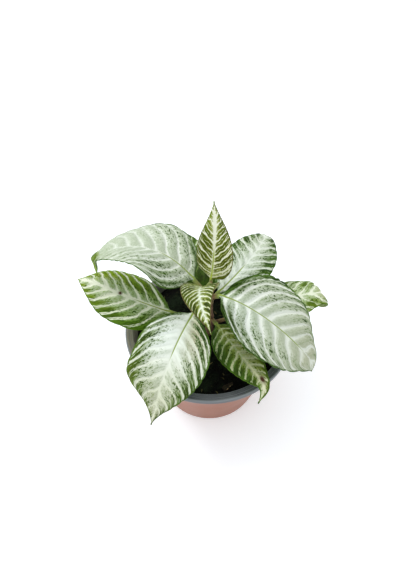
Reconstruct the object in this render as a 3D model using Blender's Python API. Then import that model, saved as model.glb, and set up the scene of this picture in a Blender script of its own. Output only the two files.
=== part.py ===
"""Potted zebra plant: five opposite pairs of striped leaves on one short stem, in a round nursery pot.

Units are metres and +Z is up. The origin is the centre of the pot's flat underside.
The plant is seen from the -Y side, so "front" is -Y, "left" is -X and "right" is +X.
Headings are degrees anticlockwise from +X, seen from above.
"""
import math
from typing import NamedTuple

import bmesh
import bpy
from mathutils import Matrix, Vector

MM = 0.001
GAP = 0.3 * MM
MERGE = 0.001 * MM

# Pot: a thermoformed nursery pot, whose lip is rolled out flat and turned down in a skirt
POT_HEIGHT = 75 * MM
BASE_RADIUS = 37.5 * MM
TOP_RADIUS = 55.5 * MM
LIP_RADIUS = 60 * MM
WALL = 1.0 * MM
BASE_THICKNESS = 1.4 * MM
BASE_CORNER = 3 * MM
LIP_THICKNESS = 1.1 * MM
LIP_CORNER = 1.2 * MM
SKIRT_DEPTH = 4 * MM
POT_SIDES = 48
DRAIN_HOLES = 6
DRAIN_RADIUS = 3.5 * MM
DRAIN_CIRCLE = 24 * MM

# Soil: it fills the pot to below the lip, and its top rises and dips a little
SOIL_LEVEL = 66 * MM
SOIL_RELIEF = 0.9 * MM
STEM_HOLE_DEPTH = 16 * MM

# Stem: short and tapered, swollen where each pair of leaves joins it
STEM_FOOT_RADIUS = 3.1 * MM
STEM_TOP_RADIUS = 2.1 * MM
NODE_SWELLING = 0.5 * MM
NODE_SPREAD = 1.6 * MM
STEM_SIDES = 14
BUD_LENGTH = 6.5 * MM
PAIR_HEIGHTS = {1: 117 * MM, 2: 110 * MM, 3: 103 * MM, 4: 86 * MM, 5: 78 * MM}

# Leaves: one solid each, a round petiole that widens into a thin blade with a rib below
BLADE_THICKNESS = 0.7 * MM
RIB_HEIGHT = 0.8 * MM
TIP_HALF_WIDTH = 0.45 * MM
PATH_STEPS = 240
BLADE_ROWS = (0, 3, 8, 15, 25, 38, 54, 70, 86, 102, 118, 134, 150, 166, 181, 194, 205, 215, 224, 232, 240)
SIDES = (-1, -0.68, -0.36, -0.09, 0, 0.09, 0.36, 0.68, 1)
PETIOLE_ROWS = 4
BASE_BLEND = 0.06
FLAT_TIP_WIDTH = 4 * MM
LOBE_SPREAD = 0.16
RIGHT_WAVE_SHIFT = 0.35

# Bark chip: one curled flake that lies on the soil
CHIP_LENGTH = 9 * MM
CHIP_WIDTH = 4.6 * MM
CHIP_THICKNESS = 0.8 * MM
CHIP_PLACE = (12.5 * MM, -45 * MM)
CHIP_HEADING = 35
CHIP_SECTIONS = 8


class Leaf(NamedTuple):
    """Lengths in millimetres, angles in degrees, places along the blade as shares of its length."""
    name: str
    pair: int               # 1 is the highest pair on the stem
    petiole: tuple          # heading, length, rise where it leaves the stem, radius
    heading: float          # of the blade where it starts
    rise: float             # slope of the blade where it starts
    fall: float             # slope that the blade reaches at its tip
    bend: float             # below 1 the blade bends mostly near its base, above 1 near its tip
    length: float
    width: float
    base_form: float        # smaller makes the blade's base broader
    tip_form: float         # larger draws the tip out longer
    swing: float            # how far the midrib turns sideways along the blade
    roll: float             # tilt about the midrib at the base, left side up
    twist: float            # further tilt by the tip
    trough: float           # how far each half is folded up at the midrib
    arch: float             # how far each half then turns down towards its margin
    tip_bend: float = 0     # drop of the tip, past the slope above
    tip_turn: float = 0     # sideways turn of the tip
    tip_start: float = 0.8
    tip_span: float = 0.2
    left_lobe: float = 0    # extra width of the left half at lobe_place
    right_lobe: float = 0
    lobe_place: float = 0.7
    wave: float = 0.7       # height of the margin's waves
    waves: float = 2
    wave_start: float = 0


LEAVES = (
    Leaf("leaf_1_back", 1, (80, 4, 15, 1.1), 67, 74, 66, 1, 54, 27, 0.54, 1.3, 35, -17, -9, 5, -20,
         wave=0.4, wave_start=0.2),
    Leaf("leaf_1_front", 1, (-106, 4, 15, 1.1), -118, 67, -31, 1.35, 64, 23, 0.8, 1.35, 56, 5, 12, 15, -4,
         tip_turn=-5, right_lobe=0.08, wave=0.4, wave_start=0.8),
    Leaf("leaf_2_left", 2, (148, 12, 36, 1.5), 147, 44, -54, 1.35, 87, 62, 0.76, 1.4, 63, 3, 31, 9, -10,
         tip_bend=-40, tip_turn=30, tip_span=0.08, wave=0.9, waves=2.5, wave_start=0.1),
    Leaf("leaf_2_right", 2, (-30, 5, 24, 1.5), -22, 40, -56, 0.3, 95, 62, 0.8, 1.25, 2, 0, 6, 11, -6,
         tip_bend=-34, tip_turn=-13, wave=0.9, waves=2.5, wave_start=0.7),
    Leaf("leaf_3_front", 3, (-134, 14, 30, 1.5), -118, 8, -72, 0.7, 82, 50, 0.9, 1.4, 3, -3, 4, 7, -11,
         tip_bend=37, tip_turn=5, left_lobe=0.03, right_lobe=0.38, wave=0.8, wave_start=0.6),
    Leaf("leaf_3_back", 3, (45, 5, 20, 1.4), 44, 12, -16, 1, 76, 37, 0.75, 1, 28, 3, 7, 6, -15,
         tip_bend=-40, tip_turn=-8, waves=2.5, wave_start=0.5),
    Leaf("leaf_4_front", 4, (-56, 5, 6, 1.4), -59, 2, 8, 1, 70, 27, 0.78, 1.46, 0, 5, 5, 4, -16,
         tip_bend=-58, tip_turn=-70, tip_start=0.75, wave=0.6, wave_start=0.1),
    Leaf("leaf_4_back", 4, (102, 8, 20, 1.4), 106, 20, -14, 1, 76, 30, 0.77, 1.2, 7, -3, -3, 5, -14,
         tip_bend=-36, wave=0.6, wave_start=0.55),
    Leaf("leaf_5_left", 5, (186, 26, 34, 1.5), 177, 26, 20, 1, 68, 46, 0.77, 1, -15, 2, 2, 3, -18,
         tip_bend=-26, tip_start=0.75, left_lobe=0.04, right_lobe=0.04, wave_start=0.3),
    Leaf("leaf_5_right", 5, (6, 26, 14, 1.4), 23, 6, -9, 1, 72, 35, 0.73, 0.75, -15, -3, -4, 3, -20,
         tip_bend=-90, tip_turn=12, tip_span=0.12, right_lobe=-0.07, wave_start=0.4),
)

LEAF_COLOURS = {
    "leaf_1_back": "7F8A45", "leaf_1_front": "8C9A60", "leaf_2_left": "B4C3A8", "leaf_2_right": "B5C2A6",
    "leaf_3_front": "A9B89F", "leaf_3_back": "A8BD9F", "leaf_4_front": "5E7A44", "leaf_4_back": "86A078",
    "leaf_5_left": "8FA465", "leaf_5_right": "8CA35C",
}


def clear_scene():
    for item in list(bpy.data.objects):
        bpy.data.objects.remove(item, do_unlink=True)


def linear(hex_colour):
    """Turn an sRGB hex colour into the linear colour that a shader takes."""
    parts = [int(hex_colour[i:i + 2], 16) / 255 for i in (0, 2, 4)]
    lin = [c / 12.92 if c <= 0.04045 else ((c + 0.055) / 1.055) ** 2.4 for c in parts]
    return (*lin, 1.0)


def make_material(name, hex_colour, roughness):
    material = bpy.data.materials.new(name)
    material.use_nodes = True
    shader = material.node_tree.nodes["Principled BSDF"]
    shader.inputs["Base Color"].default_value = linear(hex_colour)
    shader.inputs["Roughness"].default_value = roughness
    shader.inputs["Metallic"].default_value = 0.0
    return material


def add_object(name, mesh, material, smooth_angle=40):
    mesh.materials.append(material)
    mesh.shade_smooth()
    mesh.set_sharp_from_angle(angle=math.radians(smooth_angle))
    item = bpy.data.objects.new(name, mesh)
    bpy.context.scene.collection.objects.link(item)
    return item


def turned_mesh(name, profile, sides):
    """Turn a profile of (radius, height) points about Z. Points at radius 0 become one pole each."""
    bm = bmesh.new()
    verts = [bm.verts.new((radius, 0, height)) for radius, height in profile]
    edges = [bm.edges.new(pair) for pair in zip(verts, verts[1:])]
    if profile[0][0] > 0:
        edges.append(bm.edges.new((verts[-1], verts[0])))
    bmesh.ops.spin(bm, geom=verts + edges, cent=(0, 0, 0), axis=(0, 0, 1), angle=2 * math.pi, steps=sides)
    bmesh.ops.remove_doubles(bm, verts=bm.verts, dist=MERGE)
    flat_poles = [vert for vert in bm.verts if vert.co.xy.length < MERGE and
                  all(abs(edge.other_vert(vert).co.z - vert.co.z) < MERGE for edge in vert.link_edges)]
    bmesh.ops.dissolve_verts(bm, verts=flat_poles)
    bmesh.ops.recalc_face_normals(bm, faces=bm.faces)
    mesh = bpy.data.meshes.new(name)
    bm.to_mesh(mesh)
    bm.free()
    return mesh


def arc(centre, radius, start, end, steps):
    """Points on an arc in the profile plane, from one angle in degrees to another."""
    points = []
    for i in range(steps + 1):
        angle = math.radians(start + (end - start) * i / steps)
        points.append((centre[0] + radius * math.cos(angle), centre[1] + radius * math.sin(angle)))
    return points


def wall_radius(height):
    """Outer radius of the pot's tapered wall."""
    return BASE_RADIUS + (TOP_RADIUS - BASE_RADIUS) * height / POT_HEIGHT


def inside_radius(height):
    return wall_radius(height) - WALL


def make_pot():
    lip_under = POT_HEIGHT - LIP_THICKNESS
    skirt_foot = POT_HEIGHT - SKIRT_DEPTH
    inner_corner = BASE_CORNER - WALL
    corner_top = BASE_THICKNESS + inner_corner
    profile = [(0, BASE_THICKNESS)]
    profile += arc((inside_radius(corner_top) - inner_corner, corner_top), inner_corner, 270, 360, 2)
    profile += [(inside_radius(POT_HEIGHT) - 0.3 * MM, POT_HEIGHT - 0.8 * MM), (inside_radius(POT_HEIGHT), POT_HEIGHT)]
    profile += arc((LIP_RADIUS - LIP_CORNER, POT_HEIGHT - LIP_CORNER), LIP_CORNER, 90, 0, 3)
    profile += [(LIP_RADIUS - 0.3 * MM, skirt_foot), (LIP_RADIUS - 1.3 * MM, skirt_foot)]
    profile += [(LIP_RADIUS - 1.3 * MM, lip_under), (wall_radius(lip_under), lip_under)]
    profile += arc((BASE_RADIUS - BASE_CORNER + 0.6 * MM, BASE_CORNER), BASE_CORNER, -10, -90, 3)
    profile += [(0, 0)]
    mesh = turned_mesh("pot", profile, POT_SIDES)
    pot = add_object("pot", mesh, make_material("terracotta_plastic", "A97C6E", 0.55))
    cutter = make_drain_cutter()
    holes = pot.modifiers.new("drain holes", "BOOLEAN")
    holes.operation = "DIFFERENCE"
    holes.solver = "EXACT"
    holes.object = cutter
    return pot


def make_drain_cutter():
    """Upright pegs on a circle, which cut the holes through the pot's base."""
    bm = bmesh.new()
    for i in range(DRAIN_HOLES):
        angle = 2 * math.pi * (i + 0.5) / DRAIN_HOLES
        place = Matrix.Translation((DRAIN_CIRCLE * math.cos(angle), DRAIN_CIRCLE * math.sin(angle), 0))
        bmesh.ops.create_cone(bm, cap_ends=True, segments=16, radius1=DRAIN_RADIUS, radius2=DRAIN_RADIUS,
                              depth=4 * BASE_THICKNESS, matrix=place)
    mesh = bpy.data.meshes.new("drain_cutter")
    bm.to_mesh(mesh)
    bm.free()
    cutter = bpy.data.objects.new("drain_cutter", mesh)
    bpy.context.scene.collection.objects.link(cutter)
    cutter.hide_render = True
    cutter.display_type = "WIRE"
    return cutter


def soil_relief(x, y):
    """Height of the soil's top above its level: low mounds, flat round the stem and at the wall."""
    reach = math.hypot(x, y)
    inner = min(1.0, max(0.0, (reach - 5 * MM) / (8 * MM)))
    outer = min(1.0, max(0.0, (52 * MM - reach) / (6 * MM)))
    wave = math.sin(x / (9 * MM) + 0.8) * math.cos(y / (11 * MM) - 0.5)
    wave += 0.5 * math.sin((x + y) / (5.5 * MM)) * math.cos((x - 2 * y) / (13 * MM))
    return SOIL_RELIEF * wave * inner * outer


def make_soil():
    foot = BASE_THICKNESS + GAP
    hole_radius = STEM_FOOT_RADIUS + GAP
    corner = BASE_CORNER
    edge = inside_radius(SOIL_LEVEL) - GAP
    profile = [(0, foot), (inside_radius(foot) - GAP - corner, foot)]
    profile += [(inside_radius(corner + foot) - GAP, corner + foot), (edge, SOIL_LEVEL)]
    ring_count = 8
    for i in range(1, ring_count):
        profile.append((edge + (hole_radius - edge) * (i / ring_count) ** 0.8, SOIL_LEVEL))
    profile += [(hole_radius, SOIL_LEVEL)]
    profile += [(hole_radius, SOIL_LEVEL - STEM_HOLE_DEPTH), (0, SOIL_LEVEL - STEM_HOLE_DEPTH)]
    mesh = turned_mesh("soil", profile, POT_SIDES)
    for vert in mesh.vertices:
        if abs(vert.co.z - SOIL_LEVEL) < 0.01 * MM:
            vert.co.z += soil_relief(vert.co.x, vert.co.y)
    return add_object("soil", mesh, make_material("potting_soil", "2B2723", 0.95))


def stem_radius(height):
    """Radius of the stem: an even taper with a swelling at each pair of leaves."""
    share = (height - SOIL_LEVEL) / (PAIR_HEIGHTS[1] - SOIL_LEVEL)
    radius = STEM_FOOT_RADIUS + (STEM_TOP_RADIUS - STEM_FOOT_RADIUS) * min(1.0, max(0.0, share))
    for node in PAIR_HEIGHTS.values():
        radius += NODE_SWELLING * math.exp(-((height - node) / NODE_SPREAD) ** 2)
    return radius


def make_stem():
    foot = SOIL_LEVEL - STEM_HOLE_DEPTH + GAP
    heights = {foot, SOIL_LEVEL - 4 * MM, SOIL_LEVEL + 2 * MM, 71 * MM, 94.5 * MM}
    for node in PAIR_HEIGHTS.values():
        heights.update(node + step * MM for step in (-3.4, -1.4, 0, 1.4, 3.4))
    top = PAIR_HEIGHTS[1] + 1.4 * MM
    profile = [(0, foot)]
    profile += [(stem_radius(height), height) for height in sorted(heights) if height <= top]
    for share in (0.3, 0.55, 0.8, 0.95):
        profile.append((stem_radius(top) * 0.8 * (1 - share ** 1.6), top + (BUD_LENGTH - 1.4 * MM) * share))
    profile.append((0, PAIR_HEIGHTS[1] + BUD_LENGTH))
    mesh = turned_mesh("stem", profile, STEM_SIDES)
    return add_object("stem", mesh, make_material("green_stem", "8A6A58", 0.5))


def smooth_step(value):
    value = min(1.0, max(0.0, value))
    return value * value * (3 - 2 * value)


def heading_frame(heading, slope):
    """Unit vectors along a path, to its left and above it, from angles in degrees."""
    turn = math.radians(heading)
    climb = math.radians(slope)
    along = Vector((math.cos(climb) * math.cos(turn), math.cos(climb) * math.sin(turn), math.sin(climb)))
    left = Vector((-math.sin(turn), math.cos(turn), 0))
    return along, left, along.cross(left)


def petiole_stations(leaf):
    """Point, left and up of each petiole row, from the stem to the blade."""
    heading, length, rise, _ = leaf.petiole
    root = PAIR_HEIGHTS[leaf.pair]
    outward, _, _ = heading_frame(heading, 0)
    point = outward * (stem_radius(root) + GAP) + Vector((0, 0, root))
    stations = []
    steps = PATH_STEPS // 10
    for i in range(steps):
        share = (i + 0.5) / steps
        along, left, up = heading_frame(heading + (leaf.heading - heading) * share,
                                        rise + (leaf.rise - rise) * share)
        if i % (steps // PETIOLE_ROWS) == 0:
            tilt = Matrix.Rotation(math.radians(leaf.roll * share), 3, along)
            stations.append((point.copy(), tilt @ left, tilt @ up))
        point += along * (length * MM / steps)
    _, left, up = heading_frame(heading, 0)
    stations[0] = (stations[0][0], left, up)
    return stations, point


def blade_stations(leaf, start):
    """Point, left, up and share of each blade row."""
    point = start.copy()
    stations = []
    for i in range(PATH_STEPS + 1):
        share = i / PATH_STEPS
        tip = smooth_step((share - leaf.tip_start) / leaf.tip_span)
        slope = leaf.rise + (leaf.fall - leaf.rise) * share ** leaf.bend + leaf.tip_bend * tip
        along, left, up = heading_frame(leaf.heading + leaf.swing * share + leaf.tip_turn * tip, slope)
        if i in BLADE_ROWS:
            tilt = Matrix.Rotation(math.radians(leaf.roll + leaf.twist * share), 3, along)
            stations.append((point.copy(), tilt @ left, tilt @ up, share))
        point += along * (leaf.length * MM / PATH_STEPS)
    return stations


def half_width(leaf, share, side):
    """Half width of the blade on one side, narrow at both ends and widest where the two forms balance."""
    widest = leaf.base_form / (leaf.base_form + leaf.tip_form)
    peak = widest ** leaf.base_form * (1 - widest) ** leaf.tip_form
    form = share ** leaf.base_form * (1 - share) ** leaf.tip_form / peak
    lobe = leaf.left_lobe if side > 0 else leaf.right_lobe
    form *= 1 + lobe * math.exp(-((share - leaf.lobe_place) / LOBE_SPREAD) ** 2)
    return max(leaf.width * MM / 2 * form, TIP_HALF_WIDTH)


def blade_row(leaf, station):
    """Upper and lower points across one blade row."""
    point, left, up, share = station
    start = math.radians(leaf.trough)
    turn = math.radians(leaf.arch)
    blend = smooth_step(share / BASE_BLEND)
    uppers = []
    lowers = []
    for i, side in enumerate(SIDES):
        lean = start + turn * abs(side)
        width = half_width(leaf, share, side)
        across = math.copysign((math.sin(lean) - math.sin(start)) / turn, side) if side else 0.0
        lift = (math.cos(start) - math.cos(lean)) / turn
        shift = leaf.wave_start + (RIGHT_WAVE_SHIFT if side < 0 else 0)
        wave = leaf.wave * MM * math.sin(2 * math.pi * (leaf.waves * share + shift)) * side * side
        wave *= math.sqrt(max(0.0, math.sin(math.pi * share)))
        tilt = lean * min(1.0, width / FLAT_TIP_WIDTH)
        face = up * math.cos(tilt) - left * math.copysign(math.sin(tilt), side) if side else up
        middle = point + left * (across * width) + up * (lift * width + wave)
        rib = RIB_HEIGHT * (1 - share) * max(0.0, 1 - abs(side) / 0.2)
        upper = middle + face * (BLADE_THICKNESS / 2)
        lower = middle - face * (BLADE_THICKNESS / 2 + rib)
        round_upper, round_lower = petiole_points(leaf, (point, left, up), i)
        uppers.append(round_upper.lerp(upper, blend))
        lowers.append(round_lower.lerp(lower, blend))
    return uppers, lowers


def petiole_points(leaf, station, index):
    """Upper and lower point of the round petiole that one lateral place starts from."""
    point, left, up = station
    radius = leaf.petiole[3] * MM
    angle = math.radians(170 - 160 * index / (len(SIDES) - 1))
    across = left * (radius * math.cos(angle))
    lift = up * (radius * math.sin(angle))
    return point + across + lift, point + across - lift


def make_leaf(leaf):
    petiole, blade_start = petiole_stations(leaf)
    rows = []
    for station in petiole:
        pairs = [petiole_points(leaf, station, i) for i in range(len(SIDES))]
        rows.append(([upper for upper, _ in pairs], [lower for _, lower in pairs]))
    rows += [blade_row(leaf, station) for station in blade_stations(leaf, blade_start)]
    bm = bmesh.new()
    grid = [([bm.verts.new(p) for p in uppers], [bm.verts.new(p) for p in lowers]) for uppers, lowers in rows]
    last = len(SIDES) - 1
    for (near_up, near_low), (far_up, far_low) in zip(grid, grid[1:]):
        for i in range(last):
            bm.faces.new((near_up[i], far_up[i + 1], far_up[i]))
            bm.faces.new((near_up[i], near_up[i + 1], far_up[i + 1]))
            bm.faces.new((near_low[i], far_low[i], far_low[i + 1]))
            bm.faces.new((near_low[i], far_low[i + 1], near_low[i + 1]))
        bm.faces.new((near_up[0], far_up[0], far_low[0], near_low[0]))
        bm.faces.new((near_up[last], near_low[last], far_low[last], far_up[last]))
    for (uppers, lowers), order in ((grid[0], 1), (grid[-1], -1)):
        for i in range(last):
            corners = (uppers[i], lowers[i], lowers[i + 1], uppers[i + 1])
            bm.faces.new(corners[::order])
    bmesh.ops.recalc_face_normals(bm, faces=bm.faces)
    mesh = bpy.data.meshes.new(leaf.name)
    bm.to_mesh(mesh)
    bm.free()
    return add_object(leaf.name, mesh, make_material(leaf.name + "_green", LEAF_COLOURS[leaf.name], 0.45), 60)


def make_bark_chip():
    """A flake curled about its long axis, resting on its two long edges."""
    bm = bmesh.new()
    rings = []
    bow = math.radians(150)
    radius = CHIP_WIDTH / 2 / math.sin(bow / 2)
    for end in (-0.5, 0.5):
        outer = []
        inner = []
        for i in range(CHIP_SECTIONS + 1):
            angle = math.radians(90) + bow * (0.5 - i / CHIP_SECTIONS)
            slant = end * CHIP_LENGTH * (1 - 0.25 * i / CHIP_SECTIONS)
            for ring, size in ((outer, radius), (inner, radius - CHIP_THICKNESS)):
                ring.append(bm.verts.new((slant, size * math.cos(angle), size * math.sin(angle))))
        rings.append((outer, inner))
    (near_out, near_in), (far_out, far_in) = rings
    for i in range(CHIP_SECTIONS):
        bm.faces.new((near_out[i], near_out[i + 1], far_out[i + 1], far_out[i]))
        bm.faces.new((near_in[i], far_in[i], far_in[i + 1], near_in[i + 1]))
        bm.faces.new((near_out[i], near_in[i], near_in[i + 1], near_out[i + 1]))
        bm.faces.new((far_out[i], far_out[i + 1], far_in[i + 1], far_in[i]))
    for i in (0, CHIP_SECTIONS):
        bm.faces.new((near_out[i], far_out[i], far_in[i], near_in[i]))
    bmesh.ops.recalc_face_normals(bm, faces=bm.faces)
    lowest = min(vert.co.z for vert in bm.verts)
    x, y = CHIP_PLACE
    ground = max(soil_relief(x + dx * MM, y + dy * MM) for dx in range(-5, 6) for dy in range(-5, 6))
    place = Matrix.Translation((x, y, SOIL_LEVEL + ground + GAP - lowest))
    bmesh.ops.transform(bm, matrix=place @ Matrix.Rotation(math.radians(CHIP_HEADING), 4, "Z"), verts=bm.verts)
    mesh = bpy.data.meshes.new("bark_chip")
    bm.to_mesh(mesh)
    bm.free()
    return add_object("bark_chip", mesh, make_material("dry_bark", "A58A6A", 0.85))


def main():
    clear_scene()
    make_pot()
    make_soil()
    make_stem()
    for leaf in LEAVES:
        make_leaf(leaf)
    make_bark_chip()


main()
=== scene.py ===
"""Looks of the potted zebra plant: striped leaves, stem, bark chip, soil and a nursery pot of two colours.

Units are metres and +Z is up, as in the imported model, whose base stands on the floor at the origin.
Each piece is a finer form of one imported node. It repeats the node's named sizes, because this script
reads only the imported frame. The base of leaf 1 back, the outer parts of leaf 2 left and leaf 5 right, and
the bark chip are shaped a little closer to life than their nodes, by 1 to 4 mm.
"""

import math
from functools import partial
from typing import NamedTuple

import bmesh
import bpy
import numpy as np
from mathutils import Matrix, Vector, noise


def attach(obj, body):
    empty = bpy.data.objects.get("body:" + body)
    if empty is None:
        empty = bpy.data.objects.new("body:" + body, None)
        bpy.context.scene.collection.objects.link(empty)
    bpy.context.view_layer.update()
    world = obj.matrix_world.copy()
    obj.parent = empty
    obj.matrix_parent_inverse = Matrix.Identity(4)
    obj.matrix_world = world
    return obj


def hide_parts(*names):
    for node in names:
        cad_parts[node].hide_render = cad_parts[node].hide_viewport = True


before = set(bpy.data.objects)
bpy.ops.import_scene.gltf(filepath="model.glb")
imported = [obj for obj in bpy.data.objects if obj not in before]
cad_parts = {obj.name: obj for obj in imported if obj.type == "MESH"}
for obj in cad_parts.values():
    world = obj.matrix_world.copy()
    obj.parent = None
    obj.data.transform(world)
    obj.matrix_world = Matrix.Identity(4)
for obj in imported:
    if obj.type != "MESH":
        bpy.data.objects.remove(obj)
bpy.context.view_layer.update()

MM = 0.001
GAP = 0.3 * MM
MERGE = 0.001 * MM

# Pot
POT_HEIGHT = 75 * MM
BASE_RADIUS = 37.5 * MM
TOP_RADIUS = 55.5 * MM
LIP_RADIUS = 60 * MM
WALL = 1.0 * MM
BASE_THICKNESS = 1.4 * MM
BASE_CORNER = 3 * MM
LIP_THICKNESS = 1.1 * MM
LIP_CORNER = 1.2 * MM
LIP_GROOVES = (55.8 * MM, 56.9 * MM, 58.0 * MM)
GROOVE_FORM = ((-0.3, 0), (-0.12, 0.22), (0.12, 0.22), (0.3, 0))    # mm across and down
SKIRT_DEPTH = 4 * MM
SKIRT_EDGE = 0.25 * MM
POT_SIDES = 192
DRAIN_HOLES = 6
DRAIN_RADIUS = 3.5 * MM
DRAIN_CIRCLE = 24 * MM
DRAIN_SIDES = 40

# Soil
SOIL_LEVEL = 66 * MM
SOIL_RELIEF = 0.9 * MM
SOIL_LUMPS = 0.9 * MM
SOIL_RING_STEP = 0.8 * MM
STEM_HOLE_DEPTH = 16 * MM
# Number per square metre, radius, stretch, roughness of form, range of tone and seed: two sizes of crumbs,
# then flat fibres and bits of bark
CRUMBS = (
    (150000, 1.0 * MM, (1, 1, 0.75), 0.9 * MM, (0.0, 0.6), 3),
    (90000, 0.55 * MM, (1, 1, 0.8), 0.5 * MM, (0.2, 0.8), 8),
    (14000, 1.1 * MM, (2.0, 0.55, 0.35), 0.6 * MM, (0.6, 1.0), 15),
)
# Forms of noise, in repeats per metre: lumps of 4 and 1.4 mm in the soil, and the broken edges of its crumbs
COARSE_LUMPS = 260
FINE_LUMPS = 700
CRUMB_BREAKS = 900.0

# Stem
STEM_FOOT_RADIUS = 3.1 * MM
STEM_TOP_RADIUS = 2.1 * MM
NODE_SWELLING = 0.5 * MM
NODE_SPREAD = 1.6 * MM
STEM_SIDES = 48
STEM_ROWS = 170
BUD_LENGTH = 6.5 * MM
BUD_SHOULDER = 1.4 * MM
BUD_ROWS = 16
BUD_FOLD = 0.22             # shares of the radius: the folds of the bud, and the stem's ridges and bumps
STEM_RIDGES = 0.05
STEM_BUMPS = 0.06
BUMPS_PER_METRE = 1100
PAIR_HEIGHTS = {1: 117 * MM, 2: 110 * MM, 3: 103 * MM, 4: 86 * MM, 5: 78 * MM}

# Leaves
BLADE_THICKNESS = 0.7 * MM
MARGIN_THICKNESS = 0.3 * MM
RIB_HEIGHT = 0.8 * MM
RIB_REACH = 1.3 * MM
GROOVE_DEPTH = 0.25 * MM
GROOVE_REACH = 0.7 * MM
TIP_HALF_WIDTH = 0.45 * MM
PATH_STEPS = 240
PETIOLE_STEPS = 24
PETIOLE_TURN_IN = 4 * MM
PETIOLE_ARC = (174, 6)      # degrees over the petiole, from its right side to its left
HALF_COLUMNS = 34
LONG_LEAF = 80
BASE_BLEND = 0.06
FLAT_TIP_WIDTH = 4 * MM
LOBE_SPREAD = 0.16
RIGHT_WAVE_SHIFT = 0.35
PILLOW_FULLNESS = 0.75      # below 1 the pillows between veins have flatter tops
PILLOW_LEVEL = 0.55         # share of a pillow's height that stays where the plain blade is

# Bark chip
CHIP_LENGTH = 7.5 * MM
CHIP_WIDTH = 4.2 * MM
CHIP_THICKNESS = 0.8 * MM
CHIP_BOW = 165              # degrees of its curl
CHIP_FRAY = 3.2 * MM
CHIP_GRAIN = 0.14 * MM
CHIP_GRID = (36, 24)
CHIP_PLACE = (12.5 * MM, -45 * MM)
CHIP_HEADING = 35

# Studio
CAMERA_PLACE = (-0.95 * MM, -205.2 * MM, 370.3 * MM)
CAMERA_DROP = 50.65         # degrees below the horizon
CAMERA_LENS = 31.58         # mm, for a sensor 36 mm wide
LAMP_PLACE = (-1.1, 0.6, 2.15)
LAMP_AIM = (0, 0, 0.08)
LAMP_SIZE = 0.9
LAMP_POWER = 21
LIT_SIDE = (-0.55, 0.35, 0.76)
ROOM_GLOW = (0.45, 1.14)    # away from the lit side and towards it
ROOM_SEEN = 1.05            # as the camera sees it behind the floor
FLOOR_REACH = 6


class Leaf(NamedTuple):
    """Posture of one leaf, in millimetres and degrees. Places are shares of the blade's length."""
    name: str
    pair: int               # 1 is the highest pair on the stem
    petiole: tuple          # heading, length, rise where it leaves the stem, radius
    heading: float          # of the blade where it starts
    rise: float             # slope of the blade where it starts
    fall: float             # slope that the blade reaches at its tip
    bend: float             # below 1 the blade bends mostly near its base, above 1 near its tip
    length: float
    width: float
    base_form: float        # smaller makes the blade's base broader
    tip_form: float         # larger draws the tip out longer
    swing: float            # how far the midrib turns sideways along the blade
    roll: float             # tilt about the midrib at the base, left side up
    twist: float            # further tilt by the tip
    trough: float           # how far each half is folded up at the midrib
    arch: float             # how far each half then turns down towards its margin
    tip_bend: float = 0     # drop of the tip, past the slope above
    tip_turn: float = 0     # sideways turn of the tip
    tip_start: float = 0.8
    tip_span: float = 0.2
    left_lobe: float = 0    # extra width of the left half at lobe_place
    right_lobe: float = 0
    lobe_place: float = 0.7
    wave: float = 0.7       # height of the margin's waves
    waves: float = 2
    wave_start: float = 0


LEAVES = (
    Leaf("leaf_1_back", 1, (80, 4, 15, 1.1), 67, 74, 66, 1, 54, 27, 0.54, 1.3, 35, -17, -9, 5, -20,
         left_lobe=0.25, lobe_place=0.03, wave=0.4, wave_start=0.2),
    Leaf("leaf_1_front", 1, (-106, 4, 15, 1.1), -118, 67, -31, 1.35, 64, 23, 0.8, 1.35, 56, 5, 12, 15, -4,
         tip_turn=-5, right_lobe=0.08, wave=0.4, wave_start=0.8),
    Leaf("leaf_2_left", 2, (148, 12, 36, 1.5), 147, 44, -54, 1.35, 87, 62, 0.76, 1.4, 63, 3, 31, 9, -10,
         tip_bend=-40, tip_turn=42, tip_span=0.08, left_lobe=-0.1, right_lobe=-0.12, lobe_place=0.75,
         wave=0.9, waves=2.5, wave_start=0.1),
    Leaf("leaf_2_right", 2, (-30, 5, 24, 1.5), -22, 40, -56, 0.3, 95, 62, 0.8, 1.25, 2, 0, 6, 11, -6,
         tip_bend=-34, tip_turn=-13, wave=0.9, waves=2.5, wave_start=0.7),
    Leaf("leaf_3_front", 3, (-134, 14, 30, 1.5), -118, 8, -72, 0.7, 82, 50, 0.9, 1.4, 3, -3, 4, 7, -11,
         tip_bend=37, tip_turn=5, left_lobe=0.03, right_lobe=0.38, wave=0.8, wave_start=0.6),
    Leaf("leaf_3_back", 3, (45, 5, 20, 1.4), 44, 12, -16, 1, 76, 37, 0.75, 1, 28, 3, 7, 6, -15,
         tip_bend=-40, tip_turn=-8, waves=2.5, wave_start=0.5),
    Leaf("leaf_4_front", 4, (-56, 5, 6, 1.4), -59, 2, 8, 1, 70, 27, 0.78, 1.46, 0, 5, 5, 4, -16,
         tip_bend=-58, tip_turn=-70, tip_start=0.75, wave=0.6, wave_start=0.1),
    Leaf("leaf_4_back", 4, (102, 8, 20, 1.4), 106, 20, -14, 1, 76, 30, 0.77, 1.2, 7, -3, -3, 5, -14,
         tip_bend=-36, wave=0.6, wave_start=0.55),
    Leaf("leaf_5_left", 5, (186, 26, 34, 1.5), 177, 26, 20, 1, 68, 46, 0.77, 1, -15, 2, 2, 3, -18,
         tip_bend=-26, tip_start=0.75, left_lobe=0.04, right_lobe=0.04, wave_start=0.3),
    Leaf("leaf_5_right", 5, (6, 26, 14, 1.4), 23, 6, -9, 1, 72, 35, 0.73, 0.75, -15, -3, -4, 3, -20,
         tip_bend=-90, tip_turn=6, tip_start=0.74, tip_span=0.12, left_lobe=0.07, right_lobe=-0.22,
         wave_start=0.4),
)


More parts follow.
